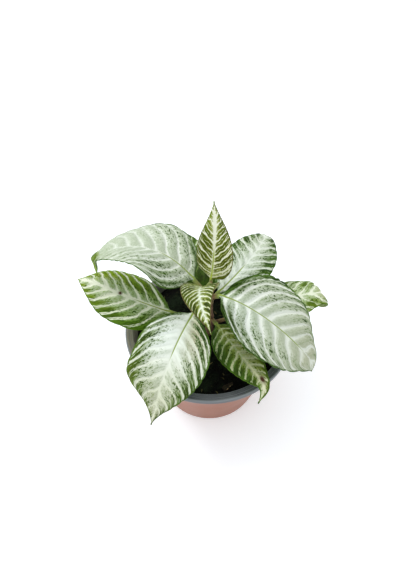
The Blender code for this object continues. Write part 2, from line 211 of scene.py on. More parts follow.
class Marking(NamedTuple):
    """How one leaf is striped. Shares run along the blade from 0 to 1, and sides from -1, right, to 1, left.

    Paleness runs from 0, green, over 0.25, grey-green, and 0.6 to 0.75, silver, to 1.2, white.
    """
    slot: str               # the record's material slot
    veins: tuple            # spaces between side veins, on the left and on the right
    gather: float           # below 1 the veins stand closer together towards the base
    first: float            # share at which the first side vein leaves the midrib
    left_lean: tuple        # run of the left veins towards the tip over their reach, at the base and the tip
    right_lean: tuple
    curl: float             # share by which a vein has bent further forward at the margin
    band: float             # half width in mm of the pale band along a vein
    bright: float           # paleness of the bands
    rib: tuple              # half widths in mm of the midrib's pale band, at the base and past the middle
    line_end: float         # share where the midrib's green line ends
    pale: tuple             # paleness of the tissue at the midrib and at the margin
    grain: float            # how strongly the tissue is flecked
    rim: float              # width in mm of the plain green rim
    quilt: float            # height in mm of the pillows between the veins
    minor: float = 0        # half width in mm of the thin veins midway between the side veins
    fork: float = 0         # share of a vein's space by which its two branches part at the margin
    flare: float = 1        # how far the bands widen where they meet the midrib
    hollow: float = 1       # how much paleness the tissue loses from a vein to midway between two, partly painted shade
    scallop: float = 0.45   # bulge of the margin between two veins, as a share of the quilt
    yellow: float = 0       # how far the green turns to yellow-green
    olive: float = 0        # how far the green turns to brownish olive
    cream: float = 0        # how far the white turns to cream
    patches: tuple = ()     # (field, share, side, reach in share, reach in side, amount)


MARKINGS = {
    "leaf_1_back": Marking(
        "young_leaf", (9.8, 11.5), 0.7, 0.03, (0, 0.9), (0.5, 1.15), 0.03, 0.48, 1.4, (1.0, 1.4), 0.42,
        (0.4, -0.1), 1.0, 0.4, 0.4, minor=0.2, fork=0.2, yellow=0.2, olive=0.55, cream=0.1, patches=(
            ("olive", 0.9, 0, 0.4, 2, -0.6), ("yellow", 0.9, 0.5, 0.3, 0.8, 0.5),
            ("cream", 1, 0, 0.5, 2, -0.2), ("pale", 0.85, 0, 0.2, 0.5, 0.9), ("pale", 0, 0, 0.2, 2, 0.2),
            ("cream", 0, 0, 0.2, 2, 0.4))),
    "leaf_1_front": Marking(
        "young_leaf", (18, 19), 0.85, 0.02, (0.3, 0.7), (0.5, 1.0), 0.05, 0.29, 1.08, (0.5, 0.8), 0.1,
        (0.5, 0.12), 0.8, 0.4, 0.4, fork=0.06, olive=0.2, patches=(
            ("olive", 0.8, 0, 0.35, 2, -0.3), ("frost", 0.65, 0, 0.4, 0.6, 0.45),
            ("cream", 0, 0, 0.2, 2, 0.4), ("pale", 0.8, 0, 0.3, 0.4, 0.3))),
    "leaf_2_left": Marking(
        "silver_leaf", (11.5, 10), 0.95, 0.07, (0.3, 1.2), (0.45, 0.35), 0.06, 0.62, 1.0, (0.7, 0.6), 0.35,
        (0.92, 0.97), 0.9, 0.7, 1.4, fork=0.08, flare=0.25, hollow=0.55, scallop=0.7, patches=(
            ("grain", 0.9, 0, 0.45, 2, -0.75), ("grain", 0.6, -0.8, 0.22, 0.6, -0.5),
            ("pale", 0.18, -0.85, 0.16, 0.3, -0.35), ("pale", 0.25, 0.75, 0.14, 0.3, -0.15),
            ("hollow", 0.25, 0.75, 0.25, 0.5, 1.2), ("frost", 0.5, 0, 0.3, 2, 0.1),
            ("pale", 0.1, 0.5, 0.08, 0.3, 0.25), ("grain", 0.22, 0.7, 0.25, 0.6, 0.3),
            ("bright", 0.2, 0, 0.25, 2, 0.15), ("pale", 0.9, 0.3, 0.2, 0.6, -0.12),
            ("pale", 0.45, 0.45, 0.2, 0.4, 0.08), ("pale", 0.02, 0.9, 0.12, 0.5, -0.3),
            ("pale", 0.02, -0.9, 0.12, 0.45, -0.8), ("pale", 0.98, 0, 0.13, 2, -2.8),
            ("bright", 0.98, 0, 0.13, 2, -1.5), ("yellow", 0.97, 0, 0.16, 2, 1))),
    "leaf_2_right": Marking(
        "silver_leaf", (10.4, 9.2), 0.65, 0.055, (0.35, 0.8), (0.12, 0.42), 0.13, 1.05, 1.08, (0.7, 0.8),
        0.75, (1.05, 0.88), 0.95, 0.8, 1.4, fork=0.05, hollow=1.0, scallop=0.8, patches=(
            ("frost", 0.15, -0.5, 0.25, 0.8, 0.3), ("grain", 0.9, 0, 0.5, 2, -0.75),
            ("tan", 0.95, 0, 0.35, 2, 0.35), ("pale", 0.02, 0.7, 0.1, 0.5, -1.4),
            ("pale", 0.3, 1, 0.3, 0.12, -0.8), ("pale", 0.05, -1, 0.1, 0.4, -0.8),
            ("pale", 0.25, -0.9, 0.25, 0.3, -0.2), ("bright", 0.2, 0, 0.3, 2, 0.1),
            ("pale", 0.3, 0, 0.25, 0.6, 0.1))),
    "leaf_3_front": Marking(
        "silver_leaf", (11, 10), 0.62, 0.06, (0.3, 0.75), (0.3, 0.75), 0.08, 0.95, 1.15, (1.2, 0.9), 0.42,
        (1.5, 0.22), 1.0, 0.7, 1.3, minor=0.1, fork=0.08, hollow=1.0, patches=(
            ("frost", 0.25, -0.3, 0.25, 0.8, 0.4), ("tan", 0.17, 0.5, 0.18, 0.4, 0.8),
            ("pale", 0.13, 0.5, 0.13, 0.4, -0.55), ("cream", 0.12, 0.4, 0.15, 0.35, 0.6),
            ("grain", 0.2, 0, 0.2, 0.4, -0.5), ("pale", 0.2, -0.5, 0.2, 0.5, 0.2),
            ("pale", 0.75, 0, 0.3, 0.8, -0.5), ("cream", 0.8, 0, 0.35, 2, 0.4),
            ("tan", 0.9, 0, 0.3, 2, 0.35), ("olive", 0.9, 0, 0.4, 2, 0.4),
            ("yellow", 0.7, -1, 0.3, 0.3, 0.3))),
    "leaf_3_back": Marking(
        "silver_leaf", (10, 10), 0.9, 0.05, (1.0, 0.8), (1.1, 0.8), 0, 0.8, 1.05, (0.9, 0.7), 0.4,
        (1.12, -0.12), 1.0, 0.6, 1.2, minor=0.1, fork=0.1, hollow=0.85, patches=(
            ("frost", 0.3, 0, 0.3, 1, 0.3), ("pale", 0.1, 0, 0.25, 0.8, 0.3),
            ("pale", 0.5, -0.6, 0.3, 0.4, -0.1))),
    "leaf_4_front": Marking(
        "green_leaf", (12, 12), 0.85, 0.08, (0.5, 0.8), (0.45, 0.8), 0.03, 0.46, 1.2, (0.1, 1.1), 0.1,
        (0.4, 0.0), 1.0, 1.0, 0.9, fork=0.12, flare=0.5, hollow=0.8, yellow=0.05, olive=0.1, cream=0.7,
        patches=(
            ("olive", 0.5, 0.5, 0.4, 0.7, 0.5), ("tan", 0.5, 0.3, 0.4, 0.5, 0.3),
            ("pale", 0.5, 0.35, 0.35, 0.4, 0.3), ("pale", 0.5, 0, 0.25, 0.3, 0.2),
            ("yellow", 0.45, 0.2, 0.4, 0.5, 0.8), ("yellow", 0.9, 0, 0.3, 2, 0.1),
            ("cream", 0.9, 0, 0.15, 2, -0.3), ("pale", 0.9, 0, 0.12, 0.8, 0.8),
            ("tan", 0.85, 0, 0.15, 1, 0.4), ("olive", 0.1, 0, 0.15, 0.4, 0.4),
            ("blemish", 0.767, 0.21, 0.03, 0.21, 1.8))),
    "leaf_4_back": Marking(
        "green_leaf", (10, 10), 0.9, 0.05, (0.6, 0.9), (0.6, 0.9), 0.03, 0.8, 1.1, (0.5, 1.2), 0.1,
        (0.6, 0.2), 0.6, 0.8, 0.8, olive=0.3, patches=(
            ("pale", 0.15, 0, 0.4, 3, -0.4), ("bright", 0.15, 0, 0.35, 3, -1.2))),
    "leaf_5_left": Marking(
        "green_leaf", (8.5, 8.5), 1, 0.1, (0.5, 0.9), (0.4, 0.8), 0.07, 0.85, 1.3, (1.5, 1.4), 0.4,
        (1.1, 0.0), 1.0, 0.6, 1.2, fork=0.12, yellow=0.2, cream=0.1, patches=(
            ("yellow", 0.6, -0.9, 0.4, 0.6, 0.7), ("yellow", 1, 0, 0.3, 2, 0.7),
            ("pale", 0.75, 0.2, 0.25, 0.7, 0.2), ("pale", 0.3, -0.7, 0.4, 0.5, -0.6),
            ("blemish", 0.555, -0.02, 0.016, 0.06, 1.6))),
    "leaf_5_right": Marking(
        "green_leaf", (8.5, 8.5), 0.9, 0.08, (0.6, 1.0), (0.6, 1.0), 0.05, 0.7, 1.1, (1.2, 1.0), 0.4,
        (1.15, 0.52), 1.0, 0.6, 0.9, fork=0.15, hollow=1.1, yellow=0.35, olive=0.15, patches=(
            ("pale", 0.64, -0.6, 0.05, 0.2, -0.8), ("pale", 0.66, 0.6, 0.05, 0.3, -0.6),
            ("tan", 0.92, -0.3, 0.14, 1, 1), ("pale", 0.92, 0, 0.12, 1, 0.2))),
}


def smooth_step(value):
    value = np.clip(value, 0, 1)
    return value * value * (3 - 2 * value)


# Nodes and objects

NODE_FAMILIES = ("ShaderNode", "GeometryNode", "FunctionNode", "Node")


def fill(node, inputs):
    """Give a node's sockets, by name or number, a value or a link from another node's output."""
    for key, value in inputs.items():
        if isinstance(value, bpy.types.NodeSocket):
            node.id_data.links.new(value, node.inputs[key])
        else:
            node.inputs[key].default_value = value


def add_node(tree, kind, inputs=None, output=0, **settings):
    """Add a node, its kind named without its family, with its settings and inputs. Returns one output."""
    family = next(family for family in NODE_FAMILIES if hasattr(bpy.types, family + kind))
    node = tree.nodes.new(family + kind)
    for name, value in settings.items():
        setattr(node, name, value)
    fill(node, inputs or {})
    return node.outputs[output] if len(node.outputs) else node


def add_object(name, data):
    """A new object in the scene, at the origin."""
    item = bpy.data.objects.new(name, data)
    bpy.context.scene.collection.objects.link(item)
    return item


def applied(item):
    """The plain mesh that an object's modifiers make. The object is removed."""
    depsgraph = bpy.context.evaluated_depsgraph_get()
    mesh = bpy.data.meshes.new_from_object(item.evaluated_get(depsgraph), depsgraph=depsgraph)
    bpy.data.objects.remove(item)
    return mesh


# Materials

AREOLE = 0.7                # mm, the smallest mesh of veins in these leaves, and so the size of one fleck
CLOUD = 6.0                 # mm, size of the clouds in which the flecks gather
NET_RELIEF = 0.08 * MM
RING_SPACING = 0.7 * MM     # about twice that of the real rings on the lip, so that they show
# Other patterns, in repeats per metre
HANDLING = 45.0             # dull patches 22 mm across, left by hands
SHEET_GRAIN = 2600.0        # grain of the plastic sheet, 0.4 mm
LIP_STREAKS = 900.0         # uneven rings on the lip, 1.1 mm
BLOOM = 70.0                # patches of green on the soil, 14 mm
PEAT_GRAIN = 1500.0         # bits of peat, 0.7 mm
STEM_FIBRE = 1300.0         # fibres of the stem, 0.8 mm wide and four times as long
BARK_FIBRE = 1.6            # on grain_place: fibres of the bark, 0.5 mm wide and 1 mm long
PAINTED_LIGHT_LEFT_SPAN = (-25 * MM, -55 * MM)       # x where the painted light on the left side begins and where it is strongest
STEM_GREENS = (100 * MM, 119 * MM)      # heights where the stem's skin begins to turn green and ends
SMOOTH = {"interpolation_type": "SMOOTHSTEP"}


def linear(hex_colour):
    """Turn an sRGB hex colour into the linear colour that a shader takes."""
    parts = [int(hex_colour[i:i + 2], 16) / 255 for i in (0, 2, 4)]
    lin = [c / 12.92 if c <= 0.04045 else ((c + 0.055) / 1.055) ** 2.4 for c in parts]
    return (*lin, 1.0)


def new_material(name):
    """A new material, and the function that adds nodes to it."""
    material = bpy.data.materials.new(name)
    material.use_nodes = True
    return material, partial(add_node, material.node_tree)


def shaded(material, inputs):
    """Give the material's shader its values and links."""
    fill(material.node_tree.nodes["Principled BSDF"], inputs)
    return material


def layered(add, ground, *layers):
    """Lay colours over a ground colour, each through its own mask. A colour is a hex value or an output."""
    surface = linear(ground) if isinstance(ground, str) else ground
    for mask, colour in layers:
        over = linear(colour) if isinstance(colour, str) else colour
        surface = add("Mix", {0: mask, 6: surface, 7: over}, 2, data_type="RGBA")
    return surface


def leaf_side(name, fields):
    """Begin one side of a leaf: its material, the fields it reads, and its finest cells and net of veins."""
    material, add = new_material(name)
    read = {field: add("Attribute", output="Fac", attribute_name=field) for field in fields}
    place = add("Attribute", output="Vector", attribute_name="vein_place")
    cell = add("TexVoronoi", {"Vector": place, "Scale": 1 / AREOLE}, "Color")
    net = add("TexVoronoi", {"Vector": place, "Scale": 1 / AREOLE}, feature="DISTANCE_TO_EDGE")
    return material, add, read, place, cell, net


def with_petiole(add, petiole, blade, green, pinkish):
    """Colour of a blade and of its petiole, which turns pinkish towards the stem."""
    stalk = layered(add, green, (petiole, pinkish))
    on_stalk = add("MapRange", {0: petiole, 1: 0.0, 2: 0.04})
    return layered(add, blade, (on_stalk, stalk))


def leaf_face(name, fray, softness, deep, mid, grey, silver, white, line, margin):
    """Upper side of a living leaf, green where the tissue is plain and silver where air lies under its skin.

    Green flecks pierce the silver, which grows to white along the veins. The thin wax gives a soft sheen.
    """
    material, add, read, place, cell, net = leaf_side(name, (
        "vein_phase", "vein_split", "vein_room", "vein_half", "minor_half", "rib_edge", "line_edge",
        "margin_edge", "petiole", "pale", "hollow", "grain", "bright", "yellow", "olive", "tan", "cream",
        "frost", "blemish"))
    speck = add("TexNoise", {"Vector": place, "Scale": 1 / AREOLE, "Detail": 1.0})
    cloud = add("TexNoise", {"Vector": place, "Scale": 1 / CLOUD, "Detail": 2.0})

    # Paleness of the tissue: green flecks, then clouds, which stand out less where there are hardly any
    # flecks, and less paleness midway between two veins, partly the pattern and partly painted shade there
    fleck = add("Mix", {0: 0.45, 2: cell, 3: speck})
    pierced = add("MapRange", {0: fleck, 1: 0.28, 2: 0.46, 3: -1.3, 4: 0.1})
    flecked = add("Math", {0: pierced, 1: read["grain"], 2: read["pale"]}, operation="MULTIPLY_ADD")
    drift = add("MapRange", {0: cloud, 1: 0.3, 2: 0.7, 3: -0.25, 4: 0.2})
    swing = add("MapRange", {0: read["grain"], 3: 0.3, 4: 1.0})
    clouded = add("Math", {0: drift, 1: swing, 2: flecked}, operation="MULTIPLY_ADD")
    half_way = add("Math", {0: read["vein_phase"], 1: 0.5}, operation="PINGPONG")
    falloff_and_pillow_shade = add("Math", {0: half_way, 1: read["hollow"]}, operation="MULTIPLY")
    tissue = add("Math", {0: clouded, 1: falloff_and_pillow_shade}, operation="SUBTRACT")

    # The bands along the side veins, which fork, along the thin veins between them, and along the midrib
    branch = add("Math", {0: half_way, 1: read["vein_split"]}, operation="SUBTRACT")
    off_vein = add("Math", {0: branch}, operation="ABSOLUTE")
    off_minor = add("Math", {0: 0.5, 1: half_way}, operation="SUBTRACT")
    veined = tissue
    for distance, half, amount in ((off_minor, "minor_half", 0.8), (off_vein, "vein_half", 1.0)):
        gap = add("Math", {0: distance, 1: read["vein_room"]}, operation="MULTIPLY")
        inside = add("Math", {0: read[half], 1: gap}, operation="SUBTRACT")
        swelling = add("Math", {0: cloud, 1: 0.8 * fray, 2: inside}, operation="MULTIPLY_ADD")
        ragged = add("Math", {0: speck, 1: fray, 2: swelling}, operation="MULTIPLY_ADD")
        start, end = 0.9 * fray - 0.5 * softness, 0.9 * fray + 0.5 * softness
        vein = add("MapRange", {0: ragged, 1: start, 2: end, 4: amount}, **SMOOTH)
        veined = add("Mix", {0: vein, 2: veined, 3: read["bright"]})
    rib_ragged = add("Math", {0: speck, 1: 2.0, 2: read["rib_edge"]}, operation="MULTIPLY_ADD")
    rib = add("MapRange", {0: rib_ragged, 1: 0.2, 2: 2.0}, **SMOOTH)
    paleness = add("Mix", {0: rib, 2: veined, 3: read["bright"]})

    # The four colours that paleness runs through, each turned by its own patches
    mottle = add("MapRange", {0: cloud, 1: 0.35, 2: 0.65}, **SMOOTH)
    deepest = add("MapRange", {0: fleck, 1: 0.28, 2: 0.48, 3: 0.7, 4: 0.0})
    uneven = add("MapRange", {0: fleck, 1: 0.35, 2: 0.65, 3: 0.4, 4: 0.0})
    green = layered(add, deep, (mottle, mid), (read["yellow"], "7E9A16"), (read["olive"], "585C1A"),
                    (deepest, deep))
    half_pale = layered(add, grey, (read["yellow"], "9AAA50"), (read["olive"], "7E843A"))
    # Painted reflection: patches of a bluish sheen over the silver and the white
    pale = layered(add, silver, (uneven, grey), (read["tan"], "A89C7C"), (read["frost"], "B6C8BF"))
    whole = layered(add, white, (read["cream"], "B4B878"), (read["frost"], "E4F0F0"))
    to_grey, to_silver, to_white = [
        add("MapRange", {0: paleness, 1: low, 2: high})
        for low, high in ((0.0, 0.25), (0.25, 0.6), (0.75, 1.2))]
    rib_line = add("MapRange", {0: read["line_edge"], 1: -0.3, 2: 0.3}, **SMOOTH)
    at_margin = add("MapRange", {0: read["margin_edge"], 1: 0.0, 2: 0.4, 4: 0.8}, **SMOOTH)
    blade = layered(add, green, (to_grey, half_pale), (to_silver, pale), (to_white, whole), (rib_line, line),
                    (at_margin, margin), (read["blemish"], "4A2E1C"))
    gloss = add("MapRange", {0: speck, 1: 0.2, 2: 0.8, 3: 0.42, 4: 0.54})
    netted = add("MapRange", {0: net, 1: 0.0, 2: 0.18})
    return shaded(material, {
        "Base Color": with_petiole(add, read["petiole"], blade, "7A8C46", "8E6C56"),
        "Roughness": gloss, "IOR": 1.42, "Specular IOR Level": 0.15,
        "Normal": add("Bump", {"Strength": 0.35, "Distance": NET_RELIEF, "Height": netted})})


def leaf_underside(name, tissue, veins):
    """Lower side of a living leaf: paler, dull for want of wax, with the veins standing out lighter."""
    material, add, read, place, cell, net = leaf_side(name, (
        "vein_phase", "vein_room", "vein_half", "rib_edge", "petiole", "yellow"))
    clouds = add("TexNoise", {"Vector": place, "Scale": 1 / CLOUD, "Detail": 3.0})
    flecked = add("Mix", {0: 0.35, 6: clouds, 7: cell}, 2, data_type="RGBA")
    distance = add("Math", {0: read["vein_phase"], 1: 0.5}, operation="PINGPONG")
    gap = add("Math", {0: distance, 1: read["vein_room"]}, operation="MULTIPLY")
    inside = add("Math", {0: read["vein_half"], 1: gap}, operation="SUBTRACT")
    vein = add("MapRange", {0: inside, 1: -0.4, 2: 0.4, 4: 0.7}, **SMOOTH)
    rib = add("MapRange", {0: read["rib_edge"], 1: -0.6, 2: 0.4}, **SMOOTH)
    blade = layered(add, tissue, (flecked, veins), (read["yellow"], "98AA5C"), (vein, veins), (rib, veins))
    raised = add("MapRange", {0: net, 1: 0.0, 2: 0.18, 3: 1.0, 4: 0.0})
    return shaded(material, {
        "Base Color": with_petiole(add, read["petiole"], blade, "8A9A5C", "96705C"),
        "Roughness": 0.62, "IOR": 1.42, "Specular IOR Level": 0.3,
        "Normal": add("Bump", {"Strength": 0.4, "Distance": NET_RELIEF, "Height": raised})})


def moulded_plastic(name, dark, light, painted_light_left_colour, painted_highlight_colour, roughness, ring_depth):
    """Thermoformed polypropylene sheet: a satin colour, with fine rings where its lip was rolled.

    Handling leaves faint dull patches. Painted light tints the left side and lightens the flat of the lip in
    patches, and painted highlights brighten the lip's bend and glints along its rings.
    """
    material, add = new_material(name)
    place = add("TexCoord", output="Object")
    axes = add("SeparateXYZ", {0: place}).node.outputs
    cloud = add("TexNoise", {"Vector": place, "Scale": HANDLING, "Detail": 4.0})
    grain = add("TexNoise", {"Vector": place, "Scale": SHEET_GRAIN, "Detail": 1.0})
    patch = add("MapRange", {0: cloud, 1: 0.3, 2: 0.7, 3: 0.2}, **SMOOTH)
    # Painted light: the left side, towards the lamp, takes a colour of its own
    painted_light_left_mask = add("MapRange", {0: axes["X"], 1: PAINTED_LIGHT_LEFT_SPAN[0], 2: PAINTED_LIGHT_LEFT_SPAN[1], 4: 0.9})
    # Rings round the pot's axis, and streaks of uneven width along them
    flat = add("VectorMath", {0: place, 1: (1, 1, 0)}, operation="MULTIPLY")
    reach = add("VectorMath", {0: flat}, "Value", operation="LENGTH")
    turns = add("Math", {0: reach, 1: RING_SPACING / 2}, operation="PINGPONG")
    ring = add("MapRange", {0: turns, 1: 0.0, 2: RING_SPACING / 2})
    streaks = add("TexNoise", {"W": reach, "Scale": LIP_STREAKS, "Detail": 2.0}, noise_dimensions="1D")
    streak = add("MapRange", {0: streaks, 1: 0.35, 2: 0.65, 4: 0.4 if ring_depth else 0.0})
    # Painted highlights: glints on the lighter streaks, and a bright line along the lip's bend
    glint = add("MapRange", {0: streaks, 1: 0.56, 2: 0.72, 4: 0.7 if ring_depth else 0.0})
    at_bend = add("MapRange", {0: reach, 1: LIP_RADIUS - 1.3 * MM, 2: LIP_RADIUS - 0.7 * MM}, **SMOOTH)
    on_top = add("MapRange", {0: axes["Z"], 1: POT_HEIGHT - 1.3 * MM, 2: POT_HEIGHT - 0.5 * MM}, **SMOOTH)
    # Painted light in patches on the flat of the lip, leaving the skirt darker; the painted highlights also
    # stay on the flat
    painted_top_light, painted_ring_glint, painted_bend_highlight = [
        add("Math", {0: mask, 1: on_top}, operation="MULTIPLY") for mask in (patch, glint, at_bend)]
    colour = layered(add, dark, (painted_top_light, light), (painted_light_left_mask, painted_light_left_colour), (streak, dark), (painted_ring_glint, painted_highlight_colour),
                     (painted_bend_highlight, painted_highlight_colour))
    dull = add("MapRange", {0: cloud, 1: 0.3, 2: 0.7, 3: roughness - 0.05, 4: roughness + 0.07})
    rings = add("Bump", {"Strength": 0.5, "Distance": ring_depth, "Height": ring})
    bump = add("Bump", {"Strength": 0.3, "Distance": 0.03 * MM, "Height": grain, "Normal": rings})
    return shaded(material, {"Base Color": colour, "Roughness": dull, "IOR": 1.49, "Normal": bump})


def damp_peat(name):
    """Damp sphagnum peat mix crumbled by hand: matt, nearly black, with brown bits and a thin green bloom."""
    material, add = new_material(name)
    place = add("TexCoord", output="Object")
    tone = add("Attribute", output="Fac", attribute_name="crumb_tone")
    bloom = add("TexNoise", {"Vector": place, "Scale": BLOOM, "Detail": 5.0})
    grain = add("TexNoise", {"Vector": place, "Scale": PEAT_GRAIN, "Detail": 4.0})
    mossy = add("MapRange", {0: bloom, 1: 0.44, 2: 0.64, 4: 0.6})
    brown = add("MapRange", {0: grain, 1: 0.45, 2: 0.8, 4: 0.6})
    woody = add("MapRange", {0: tone, 1: 0.72, 2: 1.0})
    return shaded(material, {
        "Base Color": layered(add, "050604", (brown, "15110B"), (mossy, "1E2B1A"), (woody, "5E5838")),
        "Roughness": 0.95, "Specular IOR Level": 0.15,
        "Normal": add("Bump", {"Strength": 0.8, "Distance": 0.3 * MM, "Height": grain})})


def stem_skin(name):
    """Skin of a young woody stem: pinkish brown, greener towards the bud, with short cracks along it."""
    material, add = new_material(name)
    place = add("TexCoord", output="Object")
    height = add("SeparateXYZ", {0: place}, "Z")
    green = add("MapRange", {0: height, 1: STEM_GREENS[0], 2: STEM_GREENS[1]})
    drawn = add("VectorMath", {0: place, 1: (1, 1, 0.25)}, operation="MULTIPLY")
    fibre = add("TexNoise", {"Vector": drawn, "Scale": STEM_FIBRE, "Detail": 4.0})
    streak = add("MapRange", {0: fibre, 1: 0.35, 2: 0.65})
    return shaded(material, {
        "Base Color": layered(add, "6E4F40", (streak, "A58472"), (green, "8E9A58")),
        "Roughness": 0.55, "Specular IOR Level": 0.35,
        "Normal": add("Bump", {"Strength": 0.6, "Distance": 0.12 * MM, "Height": fibre})})


def dry_bark(name):
    """Composted pine bark, dried and curled: dark, partly its own colour and partly painted shade of its
    hollow, with a painted tan highlight along its rim.
    """
    material, add = new_material(name)
    grain = add("Attribute", output="Vector", attribute_name="grain_place")
    rim = add("Attribute", output="Fac", attribute_name="rim")
    fibre = add("TexNoise", {"Vector": grain, "Scale": BARK_FIBRE, "Detail": 5.0})
    line = add("MapRange", {0: fibre, 1: 0.5, 2: 0.68, 4: 0.6}, **SMOOTH)
    rim_band = add("Math", {0: fibre, 1: 0.6, 2: rim}, operation="MULTIPLY_ADD")
    painted_rim_highlight = add("MapRange", {0: rim_band, 1: 0.7, 2: 1.2}, **SMOOTH)
    # The dark ground is partly the bark's own colour and partly painted shade of the curl's hollow; the tan
    # is a painted highlight along the rim
    return shaded(material, {
        "Base Color": layered(add, "261F14", (line, "57482F"), (painted_rim_highlight, "BCA070")),
        "Roughness": 0.85, "Specular IOR Level": 0.3,
        "Normal": add("Bump", {"Strength": 0.8, "Distance": 0.15 * MM, "Height": fibre})})


def matt_paper(name):
    """The studio's white table, matt and lit from below, so that it shows only a trace of shadow."""
    material, _ = new_material(name)
    return shaded(material, {
        "Base Color": linear("F0F6FC"), "Roughness": 0.9, "Specular IOR Level": 0.1,
        "Emission Strength": 0.31})


UPPER = {
    "young_leaf": leaf_face("young_leaf_waxy", 0.9, 0.6, "2C3A04", "4E6214", "7A8832", "B2BA7A", "ECEFDB",
                            "A3B446", "6B5A34"),
    "silver_leaf": leaf_face("silver_leaf_waxy", 1.4, 1.5, "26400A", "4A6C1C", "80946A", "BAC5AE", "E9EFE5",
                             "8A9E4C", "4A6B2A"),
    "green_leaf": leaf_face("green_leaf_waxy", 1.6, 1.1, "1A3A08", "3F6B18", "6C8E48", "ABBC92", "ECF1DF",
                            "8FA24C", "587C1C"),
}
UNDER = {
    "young_leaf": leaf_underside("young_leaf_dull_underside", "6E7A3C", "A8B074"),
    "silver_leaf": leaf_underside("silver_leaf_dull_underside", "748E62", "AFBE9A"),
    "green_leaf": leaf_underside("green_leaf_dull_underside", "72904E", "AABA88"),
}
# Colours of each sheet: ground, lighter top, painted light on the left side, painted highlight
CHARCOAL = moulded_plastic("charcoal_polypropylene_thermoformed", "43484C", "666C6E", "A0998D", "7C8285",
                           0.34, 0.08 * MM)
TERRACOTTA = moulded_plastic("terracotta_polypropylene_thermoformed", "965F49", "A06A54", "9A603F", "A0705C",
                             0.5, 0.0)
PEAT = damp_peat("peat_mix_damp_crumbled")
STEM_SKIN = stem_skin("stem_skin_living")
BARK = dry_bark("pine_bark_dried")
PAPER = matt_paper("white_paper_matt")


# Geometry Nodes

def new_tree(name, **sizes):
    """A geometry tree with a named input for each size or material, its node adder and its inputs."""
    tree = bpy.data.node_groups.new(name, "GeometryNodeTree")
    for key, kind in {"Geometry": "Geometry", **sizes}.items():
        tree.interface.new_socket(key, in_out="INPUT", socket_type="NodeSocket" + kind)
    tree.interface.new_socket("Geometry", in_out="OUTPUT", socket_type="NodeSocketGeometry")
    add = partial(add_node, tree)
    return tree, add, add("GroupInput").node.outputs


def grown(source, tree, **sizes):
    """The plain mesh that a geometry tree makes of a source mesh, its inputs set before it is evaluated."""
    item = add_object("grower", source)
    modifier = item.modifiers.new("grow", "NODES")
    modifier.node_group = tree
    for socket in tree.interface.items_tree:
        if socket.in_out == "INPUT" and socket.name in sizes:
            modifier[socket.identifier] = sizes[socket.name]
    mesh = applied(item)
    bpy.data.meshes.remove(source)
    return mesh


def turning_tree():
    """Turn a profile about Z. Profile points are (radius, -height, 0), and those marked outside get Outer."""
    tree, add, given = new_tree("turn_a_profile", Sides="Int", Inner="Material", Outer="Material")
    profile = add("MeshToCurve", {0: given["Geometry"]})
    # The rail is hardly more than a point, so that the profile's own radii count
    rail = add("CurvePrimitiveCircle", {"Resolution": given["Sides"], "Radius": 1e-7})
    turned = add("CurveToMesh", {0: rail, 1: profile})
    closed = add("MergeByDistance", {0: turned, 2: MERGE})
    real = add("RealizeInstances", {0: closed})
    inner = add("SetMaterial", {0: real, 2: given["Inner"]})
    outside = add("InputNamedAttribute", {0: "outside"}, data_type="FLOAT")
    chosen = add("Compare", {0: outside, 1: 0.9}, operation="GREATER_THAN")
    outer = add("SetMaterial", {0: inner, 1: chosen, 2: given["Outer"]})
    add("GroupOutput", {0: outer})
    return tree


def quilting_tree():
    """Raise the blade in pillows between its side veins, and let the margin bulge between their ends."""
    tree, add, given = new_tree("quilt_between_veins", Depth="Float", Scallop="Float", Fullness="Float",
                                Upper="Material", Under="Material")
    read = {name: add("InputNamedAttribute", {0: name}, data_type=kind)
            for name, kind in (("vein_phase", "FLOAT"), ("quilt_room", "FLOAT"), ("scallop_room", "FLOAT"),
                               ("under", "FLOAT"), ("face_up", "FLOAT_VECTOR"), ("outward", "FLOAT_VECTOR"))}
    turn = add("Math", {0: read["vein_phase"], 1: math.pi}, operation="MULTIPLY")
    wave = add("Math", {0: turn}, operation="SINE")
    arch = add("Math", {0: wave}, operation="ABSOLUTE")
    pillow = add("Math", {0: arch, 1: given["Fullness"]}, operation="POWER")
    centred = add("Math", {0: pillow, 1: PILLOW_LEVEL}, operation="SUBTRACT")
    geometry = given["Geometry"]
    for size, room, way in (("Depth", "quilt_room", "face_up"), ("Scallop", "scallop_room", "outward")):
        roomy = add("Math", {0: centred, 1: read[room]}, operation="MULTIPLY")
        lift = add("Math", {0: roomy, 1: given[size]}, operation="MULTIPLY")
        shift = add("VectorMath", {0: read[way], "Scale": lift}, operation="SCALE")
        geometry = add("SetPosition", {0: geometry, 3: shift})
    real = add("RealizeInstances", {0: geometry})
    upper = add("SetMaterial", {0: real, 2: given["Upper"]})
    below = add("Compare", {0: read["under"], 1: 0.6}, operation="GREATER_THAN")
    under = add("SetMaterial", {0: upper, 1: below, 2: given["Under"]})
    add("GroupOutput", {0: under})
    return tree


